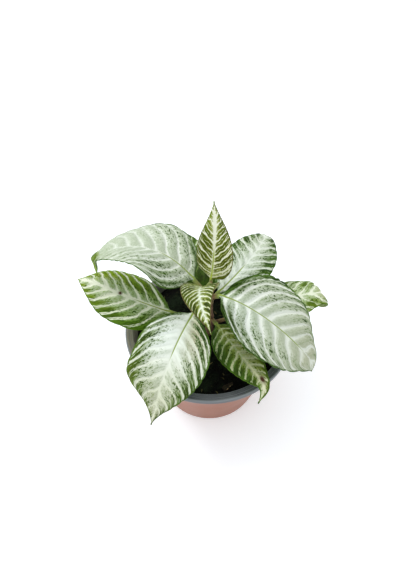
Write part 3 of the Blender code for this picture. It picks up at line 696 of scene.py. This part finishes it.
def scattering_tree():
    """Scatter crumbs of one size over the soil's top: rough lumps, each with its own turn, size and tone."""
    tree, add, given = new_tree("scatter_crumbs", Density="Float", Radius="Float", Stretch="Vector",
                                Roughen="Float", Tone_From="Float", Tone_To="Float", Seed="Int",
                                Finish="Material")
    seed = given["Seed"]
    room = add("InputNamedAttribute", {0: "crumb_room"}, data_type="FLOAT")
    chosen = add("Compare", {0: room, 1: 0.5}, operation="GREATER_THAN")
    points = add("DistributePointsOnFaces",
                 {0: given["Geometry"], 1: chosen, "Density": given["Density"], "Seed": seed})
    lump = add("MeshIcoSphere", {0: given["Radius"], 1: 1})
    size = add("RandomValue", {2: 0.35, 3: 1.0, "Seed": seed}, 1)
    scale = add("VectorMath", {0: given["Stretch"], "Scale": size}, operation="SCALE")
    turn = add("RandomValue", {0: (-0.5, -0.5, -3.1), 1: (0.5, 0.5, 3.1), "Seed": seed},
               data_type="FLOAT_VECTOR")
    lumps = add("InstanceOnPoints", {0: points, 2: lump, 5: turn, 6: scale})
    tone = add("RandomValue", {2: given["Tone_From"], 3: given["Tone_To"], "Seed": seed}, 1)
    toned = add("StoreNamedAttribute", {0: lumps, 2: "crumb_tone", 3: tone}, data_type="FLOAT",
                domain="INSTANCE")
    real = add("RealizeInstances", {0: toned})
    jitter = add("TexNoise", {"Scale": CRUMB_BREAKS, "Detail": 1.0}, "Color")
    middle = add("VectorMath", {0: jitter, 1: (0.5, 0.5, 0.5)}, operation="SUBTRACT")
    rough = add("VectorMath", {0: middle, "Scale": given["Roughen"]}, operation="SCALE")
    broken = add("SetPosition", {0: real, 3: rough})
    finished = add("SetMaterial", {0: broken, 2: given["Finish"]})
    add("GroupOutput", {0: finished})
    return tree


TURNING = turning_tree()
QUILTING = quilting_tree()
SCATTERING = scattering_tree()


# Leaves

def stem_radius(height):
    """Radius of the stem: an even taper with a swelling at each pair of leaves."""
    share = np.clip((height - SOIL_LEVEL) / (PAIR_HEIGHTS[1] - SOIL_LEVEL), 0, 1)
    radius = STEM_FOOT_RADIUS + (STEM_TOP_RADIUS - STEM_FOOT_RADIUS) * share
    for node in PAIR_HEIGHTS.values():
        radius = radius + NODE_SWELLING * np.exp(-((height - node) / NODE_SPREAD) ** 2)
    return radius


def heading_frame(heading, slope):
    """Unit vectors along a path, to its left and above it, from angles in degrees."""
    turn = np.radians(heading)
    climb = np.radians(slope)
    along = np.stack([np.cos(climb) * np.cos(turn), np.cos(climb) * np.sin(turn), np.sin(climb)], -1)
    left = np.stack([-np.sin(turn), np.cos(turn), 0 * turn], -1)
    return along, left, np.cross(along, left)


def tilted(left, up, angle):
    """Turn the two cross directions about the path, left side up."""
    turn = np.radians(angle)[:, None]
    return left * np.cos(turn) + up * np.sin(turn), up * np.cos(turn) - left * np.sin(turn)


def midrib(leaf):
    """Point, left and up of each row of the petiole and of the blade."""
    heading, length, rise, _ = leaf.petiole
    share = (np.arange(PETIOLE_STEPS) + 0.5) / PETIOLE_STEPS
    headings = heading + (leaf.heading - heading) * share
    slopes = rise + (leaf.rise - rise) * share
    along, _, _ = heading_frame(headings, slopes)
    root = PAIR_HEIGHTS[leaf.pair]
    outward, _, _ = heading_frame(np.array(float(heading)), np.array(0.0))
    start = outward * (stem_radius(root) + GAP) + np.array([0, 0, root])
    steps = along * (length * MM / PETIOLE_STEPS)
    stalk_points = start + np.cumsum(steps, 0) - steps
    # The first ring stands upright against the stem, and the next ones lean over little by little
    ease = smooth_step(share * length * MM / min(PETIOLE_TURN_IN, length * MM))
    _, left, up = heading_frame(headings, slopes * ease)
    stalk_left, stalk_up = tilted(left, up, leaf.roll * share)

    share = np.linspace(0, 1, PATH_STEPS + 1)
    tip = smooth_step((share - leaf.tip_start) / leaf.tip_span)
    slope = leaf.rise + (leaf.fall - leaf.rise) * share ** leaf.bend + leaf.tip_bend * tip
    along, left, up = heading_frame(leaf.heading + leaf.swing * share + leaf.tip_turn * tip, slope)
    left, up = tilted(left, up, leaf.roll + leaf.twist * share)
    blade_steps = along * (leaf.length * MM / PATH_STEPS)
    points = start + steps.sum(0) + np.cumsum(blade_steps, 0) - blade_steps
    step = 1 if leaf.length > LONG_LEAF else 2
    rows = slice(None, None, step)
    return (stalk_points, stalk_left, stalk_up), (points[rows], left[rows], up[rows], share[rows])


def columns():
    """Lateral places from the right margin to the left one, closer together at the midrib."""
    half = np.linspace(0, 1, HALF_COLUMNS + 1)
    half = 0.5 * half + 0.5 * half ** 1.8
    return np.concatenate([-half[:0:-1], half])


def half_width(leaf, share, side):
    """Half width of the blade on each side, narrow at both ends and widest where the two forms balance."""
    widest = leaf.base_form / (leaf.base_form + leaf.tip_form)
    peak = widest ** leaf.base_form * (1 - widest) ** leaf.tip_form
    form = share ** leaf.base_form * (1 - share) ** leaf.tip_form / peak
    lobe = np.where(side > 0, leaf.left_lobe, leaf.right_lobe)
    form = form * (1 + lobe * np.exp(-((share - leaf.lobe_place) / LOBE_SPREAD) ** 2))
    return np.maximum(leaf.width * MM / 2 * form, TIP_HALF_WIDTH)


def petiole_ring(leaf, point, left, up, side):
    """Upper and lower points of a round petiole, one pair for each column."""
    angle = np.radians(np.linspace(*PETIOLE_ARC, side.size))[None, :, None]
    radius = leaf.petiole[3] * MM
    across = left[:, None] * (radius * np.cos(angle))
    lift = up[:, None] * (radius * np.sin(angle))
    return point[:, None] + across + lift, point[:, None] + across - lift


def blade_faces(leaf, point, left, up, share, side):
    """Upper and lower points of the blade, the direction each of them faces, and its half widths."""
    share = share[:, None]
    side = side[None, :]
    size = np.abs(side)
    start = math.radians(leaf.trough)
    turn = math.radians(leaf.arch)
    lean = start + turn * size
    width = half_width(leaf, share, side)
    across = np.sign(side) * (np.sin(lean) - math.sin(start)) / turn
    lift = (math.cos(start) - np.cos(lean)) / turn
    shift = leaf.wave_start + np.where(side < 0, RIGHT_WAVE_SHIFT, 0)
    wave = leaf.wave * MM * np.sin(2 * math.pi * (leaf.waves * share + shift)) * side ** 2
    wave = wave * np.sqrt(np.clip(np.sin(math.pi * share), 0, 1))
    tilt = lean * np.minimum(1, width / FLAT_TIP_WIDTH) * np.sign(side)
    left = left[:, None]
    up = up[:, None]
    face = up * np.cos(tilt)[..., None] - left * np.sin(tilt)[..., None]
    middle = point[:, None] + left * (across * width)[..., None] + up * (lift * width + wave)[..., None]
    reach = size * width
    rib = RIB_HEIGHT * (1 - share) * np.exp(-(reach / RIB_REACH) ** 2)
    groove = GROOVE_DEPTH * (1 - share) * np.exp(-(reach / GROOVE_REACH) ** 2)
    thin = BLADE_THICKNESS / 2 + (MARGIN_THICKNESS - BLADE_THICKNESS) / 2 * size ** 6
    upper = middle + face * (thin - groove)[..., None]
    lower = middle - face * (thin + rib)[..., None]
    return upper, lower, face, width


def marking_fields(leaf, marking, share, side, width):
    """What the leaf's materials read at each point of the blade, as arrays of rows by columns."""
    share = share[:, None] + 0 * side[None, :]
    side = side[None, :] + 0 * share
    size = np.abs(side)
    reach = size * width / MM
    room = width / MM - reach
    seed = LEAVES.index(leaf)

    # Where each point lies among the side veins: whole numbers are on a vein
    veins = np.where(side > 0, marking.veins[0], marking.veins[1])
    leans = np.where(side[..., None] > 0, marking.left_lean, marking.right_lean)
    base_lean, tip_lean = leans.transpose(2, 0, 1)
    lean = base_lean + (tip_lean - base_lean) * smooth_step(share / 0.6)
    origin = share - reach / leaf.length * lean - marking.curl * size ** 5
    phase = veins * (np.sign(origin) * np.abs(origin) ** marking.gather - marking.first ** marking.gather)
    uneven = np.sin(11 * share + 3 * side + seed) + np.sin(23 * share - 5 * side + 2 * seed)
    crooked = np.sin(41 * share + 9 * side + seed) + np.sin(31 * share - 13 * side)
    phase = phase + 0.07 * (uneven + 3 * marking.fork * crooked) * smooth_step(size / 0.2)
    vein_room = leaf.length / (veins * marking.gather * np.maximum(origin, 0.03) ** (marking.gather - 1))

    # The bands flare at the midrib, narrow towards the margin and fade out at the rim and at the blade's ends
    flare = marking.flare * (0.3 + 0.7 * smooth_step((share - 0.3) / 0.4))
    half = marking.band * (1.2 - 0.5 * size + 1.2 * flare * np.exp(-reach / 1.5))
    half = half * (1 + 0.3 * np.sin(2.4 * np.floor(phase + 0.5) + 5 * seed + 1.7 * (side > 0)))
    minor = marking.minor * (1.1 - 0.4 * size + 0.3 * np.sin(3.7 * np.floor(phase) + 3 * seed))
    rim = 1 - smooth_step((room / marking.rim - 0.4) / 0.8)
    lost = 2 * (1 - smooth_step((phase + 0.6) / 0.4) * smooth_step((0.97 - origin) / 0.1) * (1 - rim))
    rib_half = marking.rib[0] + (marking.rib[1] - marking.rib[0]) * smooth_step((share - 0.3) / 0.35)
    line_fade = smooth_step((marking.line_end - share) / 0.2 + 0.5)
    pale = marking.pale[0] + (marking.pale[1] - marking.pale[0]) * smooth_step(size ** 1.3)
    fields = {
        "vein_phase": phase,
        "vein_room": vein_room,
        "vein_split": marking.fork * smooth_step((size - 0.5) / 0.5),
        "vein_half": half - lost,
        "minor_half": minor - lost - 3 * (marking.minor == 0),
        "rib_edge": np.minimum(rib_half, 0.3 * width / MM) * smooth_step((1 - share) / 0.06) - reach,
        "line_edge": (0.45 + 0.9 * np.exp(-share / 0.05)) * line_fade - 0.3 * (1 - line_fade) - reach,
        "margin_edge": 0.45 - room - 0.5 * smooth_step(2 - width / MM),
        "pale": pale - 1.3 * rim,
        "grain": marking.grain * (0.15 + 0.85 * smooth_step(size / 0.7)),
        "quilt_room": smooth_step(size / 0.22) * (1 - smooth_step((size - 0.8) / 0.2))
        * smooth_step(share / 0.12) * smooth_step((0.97 - share) / 0.15),
        "scallop_room": smooth_step((size - 0.6) / 0.4) * smooth_step(share / 0.2)
        * smooth_step((0.95 - share) / 0.2),
    }
    # The leaf's own even amounts, and fields that are nil but for its patches or on its petiole
    for field in ("hollow", "bright", "yellow", "olive", "cream", "tan", "frost", "blemish", "petiole"):
        fields[field] = getattr(marking, field, 0) + 0 * share
    for field, at_share, at_side, share_reach, side_reach, amount in marking.patches:
        patch = np.exp(-((share - at_share) / share_reach) ** 2 - ((side - at_side) / side_reach) ** 2)
        fields[field] = fields[field] + amount * patch
    for field in ("grain", "yellow", "olive", "tan", "cream", "frost", "blemish"):
        fields[field] = np.clip(fields[field], 0, 1)
    # Flecks are a little longer along the veins than across them, and each leaf has its own
    across = 0.75 * side * width / MM
    fields["vein_place"] = np.stack([across, origin * leaf.length, 0 * side + 40 * seed], -1)
    return fields


def shell_mesh(name, upper, lower):
    """A closed shell from an upper and a lower grid of points, joined along their four edges."""
    rows, across = upper.shape[:2]
    index = np.arange(rows * across).reshape(rows, across)
    corners = [index[:-1, :-1], index[1:, :-1], index[1:, 1:], index[:-1, 1:]]
    quads = np.stack(corners, -1).reshape(-1, 4)
    below = index + rows * across
    faces = [quads, (quads + rows * across)[:, ::-1]]
    edges = ((index[:, 0], below[:, 0]), (below[:, -1], index[:, -1]),
             (below[0], index[0]), (index[-1], below[-1]))
    for first, second in edges:
        faces.append(np.stack([first[:-1], second[:-1], second[1:], first[1:]], -1))
    mesh = bpy.data.meshes.new(name)
    points = np.concatenate([upper.reshape(-1, 3), lower.reshape(-1, 3)])
    mesh.from_pydata(points.tolist(), [], np.concatenate(faces).tolist())
    return mesh


def write_field(mesh, name, values):
    """Store one value or vector at each point. Both faces of a shell get the same values."""
    flat = values.reshape(-1, 3) if values.ndim == 3 else values.reshape(-1)
    doubled = np.concatenate([flat, flat]) if len(flat) * 2 == len(mesh.vertices) else flat
    kind, key = ("FLOAT_VECTOR", "vector") if doubled.ndim == 2 else ("FLOAT", "value")
    attribute = mesh.attributes.new(name, kind, "POINT")
    attribute.data.foreach_set(key, doubled.astype(np.float32).ravel())


def place_piece(name, mesh, sharp_angle=50):
    """Put a finished mesh on the pot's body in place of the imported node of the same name."""
    mesh.name = name
    for key in ("face_up", "outward", "quilt_room", "scallop_room", "under", "outside", "crumb_room"):
        if key in mesh.attributes:
            mesh.attributes.remove(mesh.attributes[key])
    mesh.shade_smooth()
    mesh.set_sharp_from_angle(angle=math.radians(sharp_angle))
    piece = add_object(name + "_detail", mesh)
    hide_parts(name)
    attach(piece, "root")


def make_leaf(leaf):
    marking = MARKINGS[leaf.name]
    side = columns()
    stalk, (point, left, up, share) = midrib(leaf)
    upper, lower, face, width = blade_faces(leaf, point, left, up, share, side)
    round_upper, round_lower = petiole_ring(leaf, point, left, up, side)
    blend = smooth_step(share / BASE_BLEND)[:, None, None]
    upper = round_upper + (upper - round_upper) * blend
    lower = round_lower + (lower - round_lower) * blend
    stalk_upper, stalk_lower = petiole_ring(leaf, *stalk, side)
    mesh = shell_mesh(leaf.name, np.concatenate([stalk_upper, upper]), np.concatenate([stalk_lower, lower]))

    fields = marking_fields(leaf, marking, share, side, width)
    fields["face_up"] = face
    fields["outward"] = left[:, None] * np.sign(side)[None, :, None]
    # The petiole bears no marks. It is read from 1 at the stem to 0.05 at the blade
    for field, values in fields.items():
        unmarked = -1 if field.endswith(("_half", "_edge")) else 0
        stalk_rows = np.zeros((PETIOLE_STEPS, *values.shape[1:])) + unmarked
        if field == "petiole":
            stalk_rows += np.linspace(1, 0.05, PETIOLE_STEPS)[:, None]
        if field == "vein_place":
            behind = np.linspace(leaf.petiole[1], 0, PETIOLE_STEPS)[:, None, None]
            stalk_rows = values[:1] - behind * (0, 1, 0)
        write_field(mesh, field, np.concatenate([stalk_rows, values]))
    write_field(mesh, "under", np.repeat([0.0, 1.0], len(mesh.vertices) // 2))
    quilt = marking.quilt * MM
    quilted = grown(mesh, QUILTING, Depth=quilt, Scallop=marking.scallop * quilt, Fullness=PILLOW_FULLNESS,
                    Upper=UPPER[marking.slot], Under=UNDER[marking.slot])
    place_piece(leaf.name, quilted)


# Pot, soil, stem and bark chip

def arc(centre, radius, start, end, steps):
    """Points on an arc in the profile plane, from one angle in degrees to another."""
    angles = np.radians(np.linspace(start, end, steps + 1))
    return [(centre[0] + radius * math.cos(a), centre[1] + radius * math.sin(a)) for a in angles]


def profile_mesh(points, outside_from=None):
    """An open profile as a chain of edges, its points from outside_from on marked as outside."""
    mesh = bpy.data.meshes.new("profile")
    mesh.from_pydata([(radius, -height, 0) for radius, height in points],
                     [(i, i + 1) for i in range(len(points) - 1)], [])
    marks = np.zeros(len(points))
    if outside_from is not None:
        marks[outside_from:] = 1
    write_field(mesh, "outside", marks)
    return mesh


def face_outwards(mesh):
    """Recalculate a closed mesh's normals to the outside."""
    bm = bmesh.new()
    bm.from_mesh(mesh)
    bmesh.ops.recalc_face_normals(bm, faces=bm.faces)
    bm.to_mesh(mesh)
    bm.free()


def wall_radius(height):
    """Outer radius of the pot's tapered wall."""
    return BASE_RADIUS + (TOP_RADIUS - BASE_RADIUS) * height / POT_HEIGHT


def inside_radius(height):
    return wall_radius(height) - WALL


def make_pot():
    """The pot, turned from a profile that runs up the inside, over the lip and down the outside."""
    lip_under = POT_HEIGHT - LIP_THICKNESS
    skirt_foot = POT_HEIGHT - SKIRT_DEPTH
    inner_corner = BASE_CORNER - WALL
    corner_top = BASE_THICKNESS + inner_corner
    mouth = inside_radius(POT_HEIGHT)
    profile = [(radius, BASE_THICKNESS) for radius in (0, 20 * MM, 28 * MM)]
    profile += arc((inside_radius(corner_top) - inner_corner, corner_top), inner_corner, 270, 360, 6)
    profile += [(inside_radius(h * MM), h * MM) for h in (12, 24, 36, 48, 60, 68, 72)]
    for out, down in ((-0.3, 0.8), (-0.1, 0.3), (0.3, 0.02)):
        profile.append((mouth + out * MM, POT_HEIGHT - down * MM))
    # Shallow rolled grooves run round the flat of the lip
    for groove in LIP_GROOVES:
        profile += [(groove + across * MM, POT_HEIGHT - down * MM) for across, down in GROOVE_FORM]
    profile += arc((LIP_RADIUS - LIP_CORNER, POT_HEIGHT - LIP_CORNER), LIP_CORNER, 90, 0, 8)
    profile += [(LIP_RADIUS - 0.1 * MM, POT_HEIGHT - 2.4 * MM)]
    profile += [(LIP_RADIUS - 0.3 * MM, skirt_foot + SKIRT_EDGE)]
    profile += arc((LIP_RADIUS - 0.8 * MM, skirt_foot + SKIRT_EDGE), SKIRT_EDGE, -20, -90, 3)
    outside_from = len(profile)
    profile += [(LIP_RADIUS - 1.3 * MM, skirt_foot + 0.1 * MM), (LIP_RADIUS - 1.3 * MM, lip_under - 0.3 * MM)]
    profile += [(LIP_RADIUS - 1.6 * MM, lip_under), (wall_radius(lip_under) + 0.4 * MM, lip_under)]
    profile += [(wall_radius(lip_under - 0.4 * MM), lip_under - 0.4 * MM)]
    profile += [(wall_radius(h * MM), h * MM) for h in (68, 60, 48, 36, 24, 12, 5)]
    profile += arc((BASE_RADIUS - BASE_CORNER + 0.6 * MM, BASE_CORNER), BASE_CORNER, -10, -90, 8)
    profile += [(radius, 0) for radius in (29 * MM, 20 * MM, 0)]
    sheet = profile_mesh(profile, outside_from)
    mesh = grown(sheet, TURNING, Sides=POT_SIDES, Inner=CHARCOAL, Outer=TERRACOTTA)
    face_outwards(mesh)
    place_piece("pot", with_drain_holes(mesh), 35)


def with_drain_holes(mesh):
    """Cut the round holes through the pot's base."""
    bm = bmesh.new()
    for i in range(DRAIN_HOLES):
        angle = 2 * math.pi * (i + 0.5) / DRAIN_HOLES
        place = Matrix.Translation((DRAIN_CIRCLE * math.cos(angle), DRAIN_CIRCLE * math.sin(angle), 0))
        bmesh.ops.create_cone(bm, cap_ends=True, segments=DRAIN_SIDES, radius1=DRAIN_RADIUS,
                              radius2=DRAIN_RADIUS, depth=4 * BASE_THICKNESS, matrix=place)
    pegs = bpy.data.meshes.new("pegs")
    bm.to_mesh(pegs)
    bm.free()
    cutter = add_object("pegs", pegs)
    blank = add_object("blank", mesh)
    holes = blank.modifiers.new("drain holes", "BOOLEAN")
    holes.operation = "DIFFERENCE"
    holes.solver = "EXACT"
    holes.object = cutter
    cut = applied(blank)
    bpy.data.objects.remove(cutter)
    return cut


def soil_relief(x, y):
    """Height of the soil's low mounds, with none within 5 mm of the axis or more than 52 mm from it."""
    reach = np.hypot(x, y)
    inner = np.clip((reach - 5 * MM) / (8 * MM), 0, 1)
    outer = np.clip((52 * MM - reach) / (6 * MM), 0, 1)
    wave = np.sin(x / (9 * MM) + 0.8) * np.cos(y / (11 * MM) - 0.5)
    wave = wave + 0.5 * np.sin((x + y) / (5.5 * MM)) * np.cos((x - 2 * y) / (13 * MM))
    return SOIL_RELIEF * wave * inner * outer


def make_soil():
    """A turned bed with a hole for the stem, its top raised in mounds and lumps, and crumbs strewn on it."""
    foot = BASE_THICKNESS + GAP
    hole_radius = STEM_FOOT_RADIUS + GAP
    hole_foot = SOIL_LEVEL - STEM_HOLE_DEPTH
    edge = inside_radius(SOIL_LEVEL) - GAP
    rings = np.arange(edge - 0.4 * MM, hole_radius + 0.4 * MM, -SOIL_RING_STEP)
    profile = [(0, foot), (inside_radius(foot) - GAP - BASE_CORNER, foot)]
    profile += [(inside_radius(BASE_CORNER + foot) - GAP, BASE_CORNER + foot), (edge, SOIL_LEVEL)]
    profile += [(float(radius), SOIL_LEVEL) for radius in rings]
    profile += [(hole_radius, SOIL_LEVEL), (hole_radius, hole_foot), (0, hole_foot)]
    bed = grown(profile_mesh(profile), TURNING, Sides=POT_SIDES, Inner=PEAT, Outer=PEAT)
    face_outwards(bed)
    points = np.zeros(len(bed.vertices) * 3)
    bed.vertices.foreach_get("co", points)
    points = points.reshape(-1, 3)
    on_top = np.abs(points[:, 2] - SOIL_LEVEL) < 0.01 * MM
    lumps = np.array([noise.noise(Vector(p) * COARSE_LUMPS) + 0.5 * noise.noise(Vector(p) * FINE_LUMPS)
                      for p in points])
    reach = np.hypot(points[:, 0], points[:, 1])
    fade = np.clip((reach - hole_radius) / (2 * MM), 0, 1) * np.clip((edge - reach) / (2 * MM), 0, 1)
    points[:, 2] += on_top * (soil_relief(points[:, 0], points[:, 1]) + SOIL_LUMPS * lumps * fade)
    bed.vertices.foreach_set("co", points.ravel())
    room = on_top * (reach < edge - 1.2 * MM) * (reach > hole_radius + 1.0 * MM)
    write_field(bed, "crumb_room", room.astype(float))
    write_field(bed, "crumb_tone", 0.3 + 0 * reach)
    layers = [bed]
    for density, radius, stretch, roughen, (tone_from, tone_to), seed in CRUMBS:
        layers.append(grown(bed.copy(), SCATTERING, Density=density, Radius=radius, Stretch=stretch,
                            Roughen=roughen, Tone_From=tone_from, Tone_To=tone_to, Seed=seed, Finish=PEAT))
    place_piece("soil", joined(layers), 30)


def joined(meshes):
    """Join meshes that share one material into the first."""
    bm = bmesh.new()
    for mesh in meshes:
        bm.from_mesh(mesh)
    whole = bpy.data.meshes.new("joined")
    bm.to_mesh(whole)
    bm.free()
    whole.materials.append(meshes[0].materials[0])
    return whole


def make_stem():
    """A turned shoot that swells at each pair of leaves and ends in a small bud."""
    foot = SOIL_LEVEL - STEM_HOLE_DEPTH + GAP
    top = PAIR_HEIGHTS[1] + BUD_SHOULDER
    profile = [(0, foot)] + [(float(stem_radius(h)), float(h)) for h in np.linspace(foot, top, STEM_ROWS)]
    for share in np.linspace(0.06, 0.97, BUD_ROWS):
        radius = float(stem_radius(top)) * 0.8 * (1 - share ** 1.6)
        profile.append((radius, top + (BUD_LENGTH - BUD_SHOULDER) * share))
    profile.append((0, PAIR_HEIGHTS[1] + BUD_LENGTH))
    mesh = grown(profile_mesh(profile), TURNING, Sides=STEM_SIDES, Inner=STEM_SKIN, Outer=STEM_SKIN)
    face_outwards(mesh)
    for vert in mesh.vertices:
        x, y, z = vert.co
        turn = math.atan2(y, x)
        # Shallow ridges along the stem, and two folded scales that wrap the bud
        ridge = STEM_RIDGES * math.cos(4 * turn + 30 * z)
        ridge += STEM_BUMPS * noise.noise(Vector((x, y, z * 0.4)) * BUMPS_PER_METRE)
        fold = BUD_FOLD * math.cos(2 * turn) if z > top else 0.0
        rounding = 1 + ridge + fold
        vert.co.x *= rounding
        vert.co.y *= rounding
    place_piece("stem", mesh, 60)


def noise_field(*axes):
    """Smooth noise at each point of a grid, from its three coordinates there."""
    return np.vectorize(lambda *spot: noise.noise(Vector(spot)))(*axes)


def make_bark_chip():
    """A flake curled about its long axis, lying on its back, with ragged ends and a painted highlight along
    its rim.
    """
    bow = math.radians(CHIP_BOW)
    radius = CHIP_WIDTH / 2 / math.sin(bow / 2)
    rows, across = CHIP_GRID
    along, turn = np.meshgrid(np.linspace(-0.5, 0.5, rows), np.linspace(0, 1, across), indexing="ij")
    angle = math.radians(270) + bow * (0.5 - turn)
    frayed = noise_field(9.0 * turn, np.copysign(3.0, along), 0.5)
    grain = noise_field(along * 3, turn * 14, 2.5)
    bend = noise_field(along * 2.2, turn * 1.5, 6.5)
    # One end is pinched narrower than the other, and the ends are torn unevenly
    pinch = 1 - 0.45 * smooth_step(along + 0.5) + 0.25 * bend
    length = along * (CHIP_LENGTH * (0.72 + 0.28 * np.sin(math.pi * turn)) + CHIP_FRAY * frayed)
    edge = np.sqrt(np.sin(math.pi * np.clip(turn, 0.02, 0.98)))
    outer = radius * pinch + CHIP_GRAIN * grain
    inner = outer - CHIP_THICKNESS * (0.3 + 0.5 * edge)
    grids = [np.stack([length, size * np.cos(angle), size * np.sin(angle)], -1) for size in (outer, inner)]
    mesh = shell_mesh("bark_chip", *grids)
    write_field(mesh, "grain_place", np.stack([along * 4, turn * 7, 0 * turn], -1))
    # A painted highlight along the rim, wide and narrow by turns, and only in two places along its length
    rim_band = (0.16 + 0.3 * frayed + 0.5 * bend).clip(0.04)
    at_rim = np.maximum(1 - np.minimum(turn + 0.1, 1 - turn) / rim_band, 1 - (0.5 - np.abs(along)) / 0.12)
    rim_highlight_spots = np.exp(-((along + 0.24) / 0.13) ** 2) + np.exp(-((along - 0.3) / 0.11) ** 2)
    write_field(mesh, "rim", at_rim.clip(0, 1) * rim_highlight_spots)
    face_outwards(mesh)
    lowest = min(vert.co.z for vert in mesh.vertices)
    x, y = CHIP_PLACE
    span = np.arange(-5, 6) * MM
    ground = soil_relief(x + span[:, None], y + span[None, :]).max()
    place = Matrix.Translation((x, y, SOIL_LEVEL + float(ground) + GAP - lowest))
    mesh.transform(place @ Matrix.Rotation(math.radians(CHIP_HEADING), 4, "Z"))
    mesh.materials.append(BARK)
    place_piece("bark_chip", mesh)


# Studio

def make_floor():
    mesh = bpy.data.meshes.new("floor")
    corners = [(x * FLOOR_REACH, y * FLOOR_REACH, 0) for x, y in ((-1, -1), (1, -1), (1, 1), (-1, 1))]
    mesh.from_pydata(corners, [], [(0, 1, 2, 3)])
    mesh.materials.append(PAPER)
    floor = add_object("floor", mesh)


def make_lights():
    """A white room, brighter up to the left and behind, and one large soft lamp there for a faint shadow."""
    world = bpy.data.worlds.new("white_room")
    world.use_nodes = True
    world.node_tree.nodes.clear()
    add = partial(add_node, world.node_tree)
    towards = add("TexCoord", output="Generated")
    lit_side = add("VectorMath", {0: towards, 1: LIT_SIDE}, "Value", operation="DOT_PRODUCT")
    glow = add("MapRange", {0: lit_side, 1: -1.0, 2: 1.0, 3: ROOM_GLOW[0], 4: ROOM_GLOW[1]})
    seen = add("LightPath", output="Is Camera Ray")
    strength = add("Mix", {0: seen, 2: glow, 3: ROOM_SEEN})
    room = add("Background", {"Color": (1, 1, 1, 1), "Strength": strength})
    add("OutputWorld", {0: room})
    bpy.context.scene.world = world
    lamp = bpy.data.lights.new("soft_lamp", "AREA")
    lamp.shape = "DISK"
    lamp.size = LAMP_SIZE
    lamp.energy = LAMP_POWER
    item = add_object("soft_lamp", lamp)
    item.location = LAMP_PLACE
    item.rotation_euler = (Vector(LAMP_AIM) - item.location).to_track_quat("-Z", "Y").to_euler()


def make_camera():
    """The photograph's view, from above and in front."""
    camera = bpy.data.cameras.new("camera")
    camera.sensor_width = 36
    camera.lens = CAMERA_LENS
    camera.clip_start = 0.01
    camera.clip_end = 50
    item = add_object("camera", camera)
    item.location = CAMERA_PLACE
    item.rotation_euler = (math.radians(90 - CAMERA_DROP), 0, 0)
    bpy.context.scene.camera = item


make_camera()
make_lights()
make_floor()
make_pot()
make_soil()
make_stem()
for each_leaf in LEAVES:
    make_leaf(each_leaf)
make_bark_chip()
bpy.context.scene.view_settings.view_transform = "Standard"

bpy.context.view_layer.update()
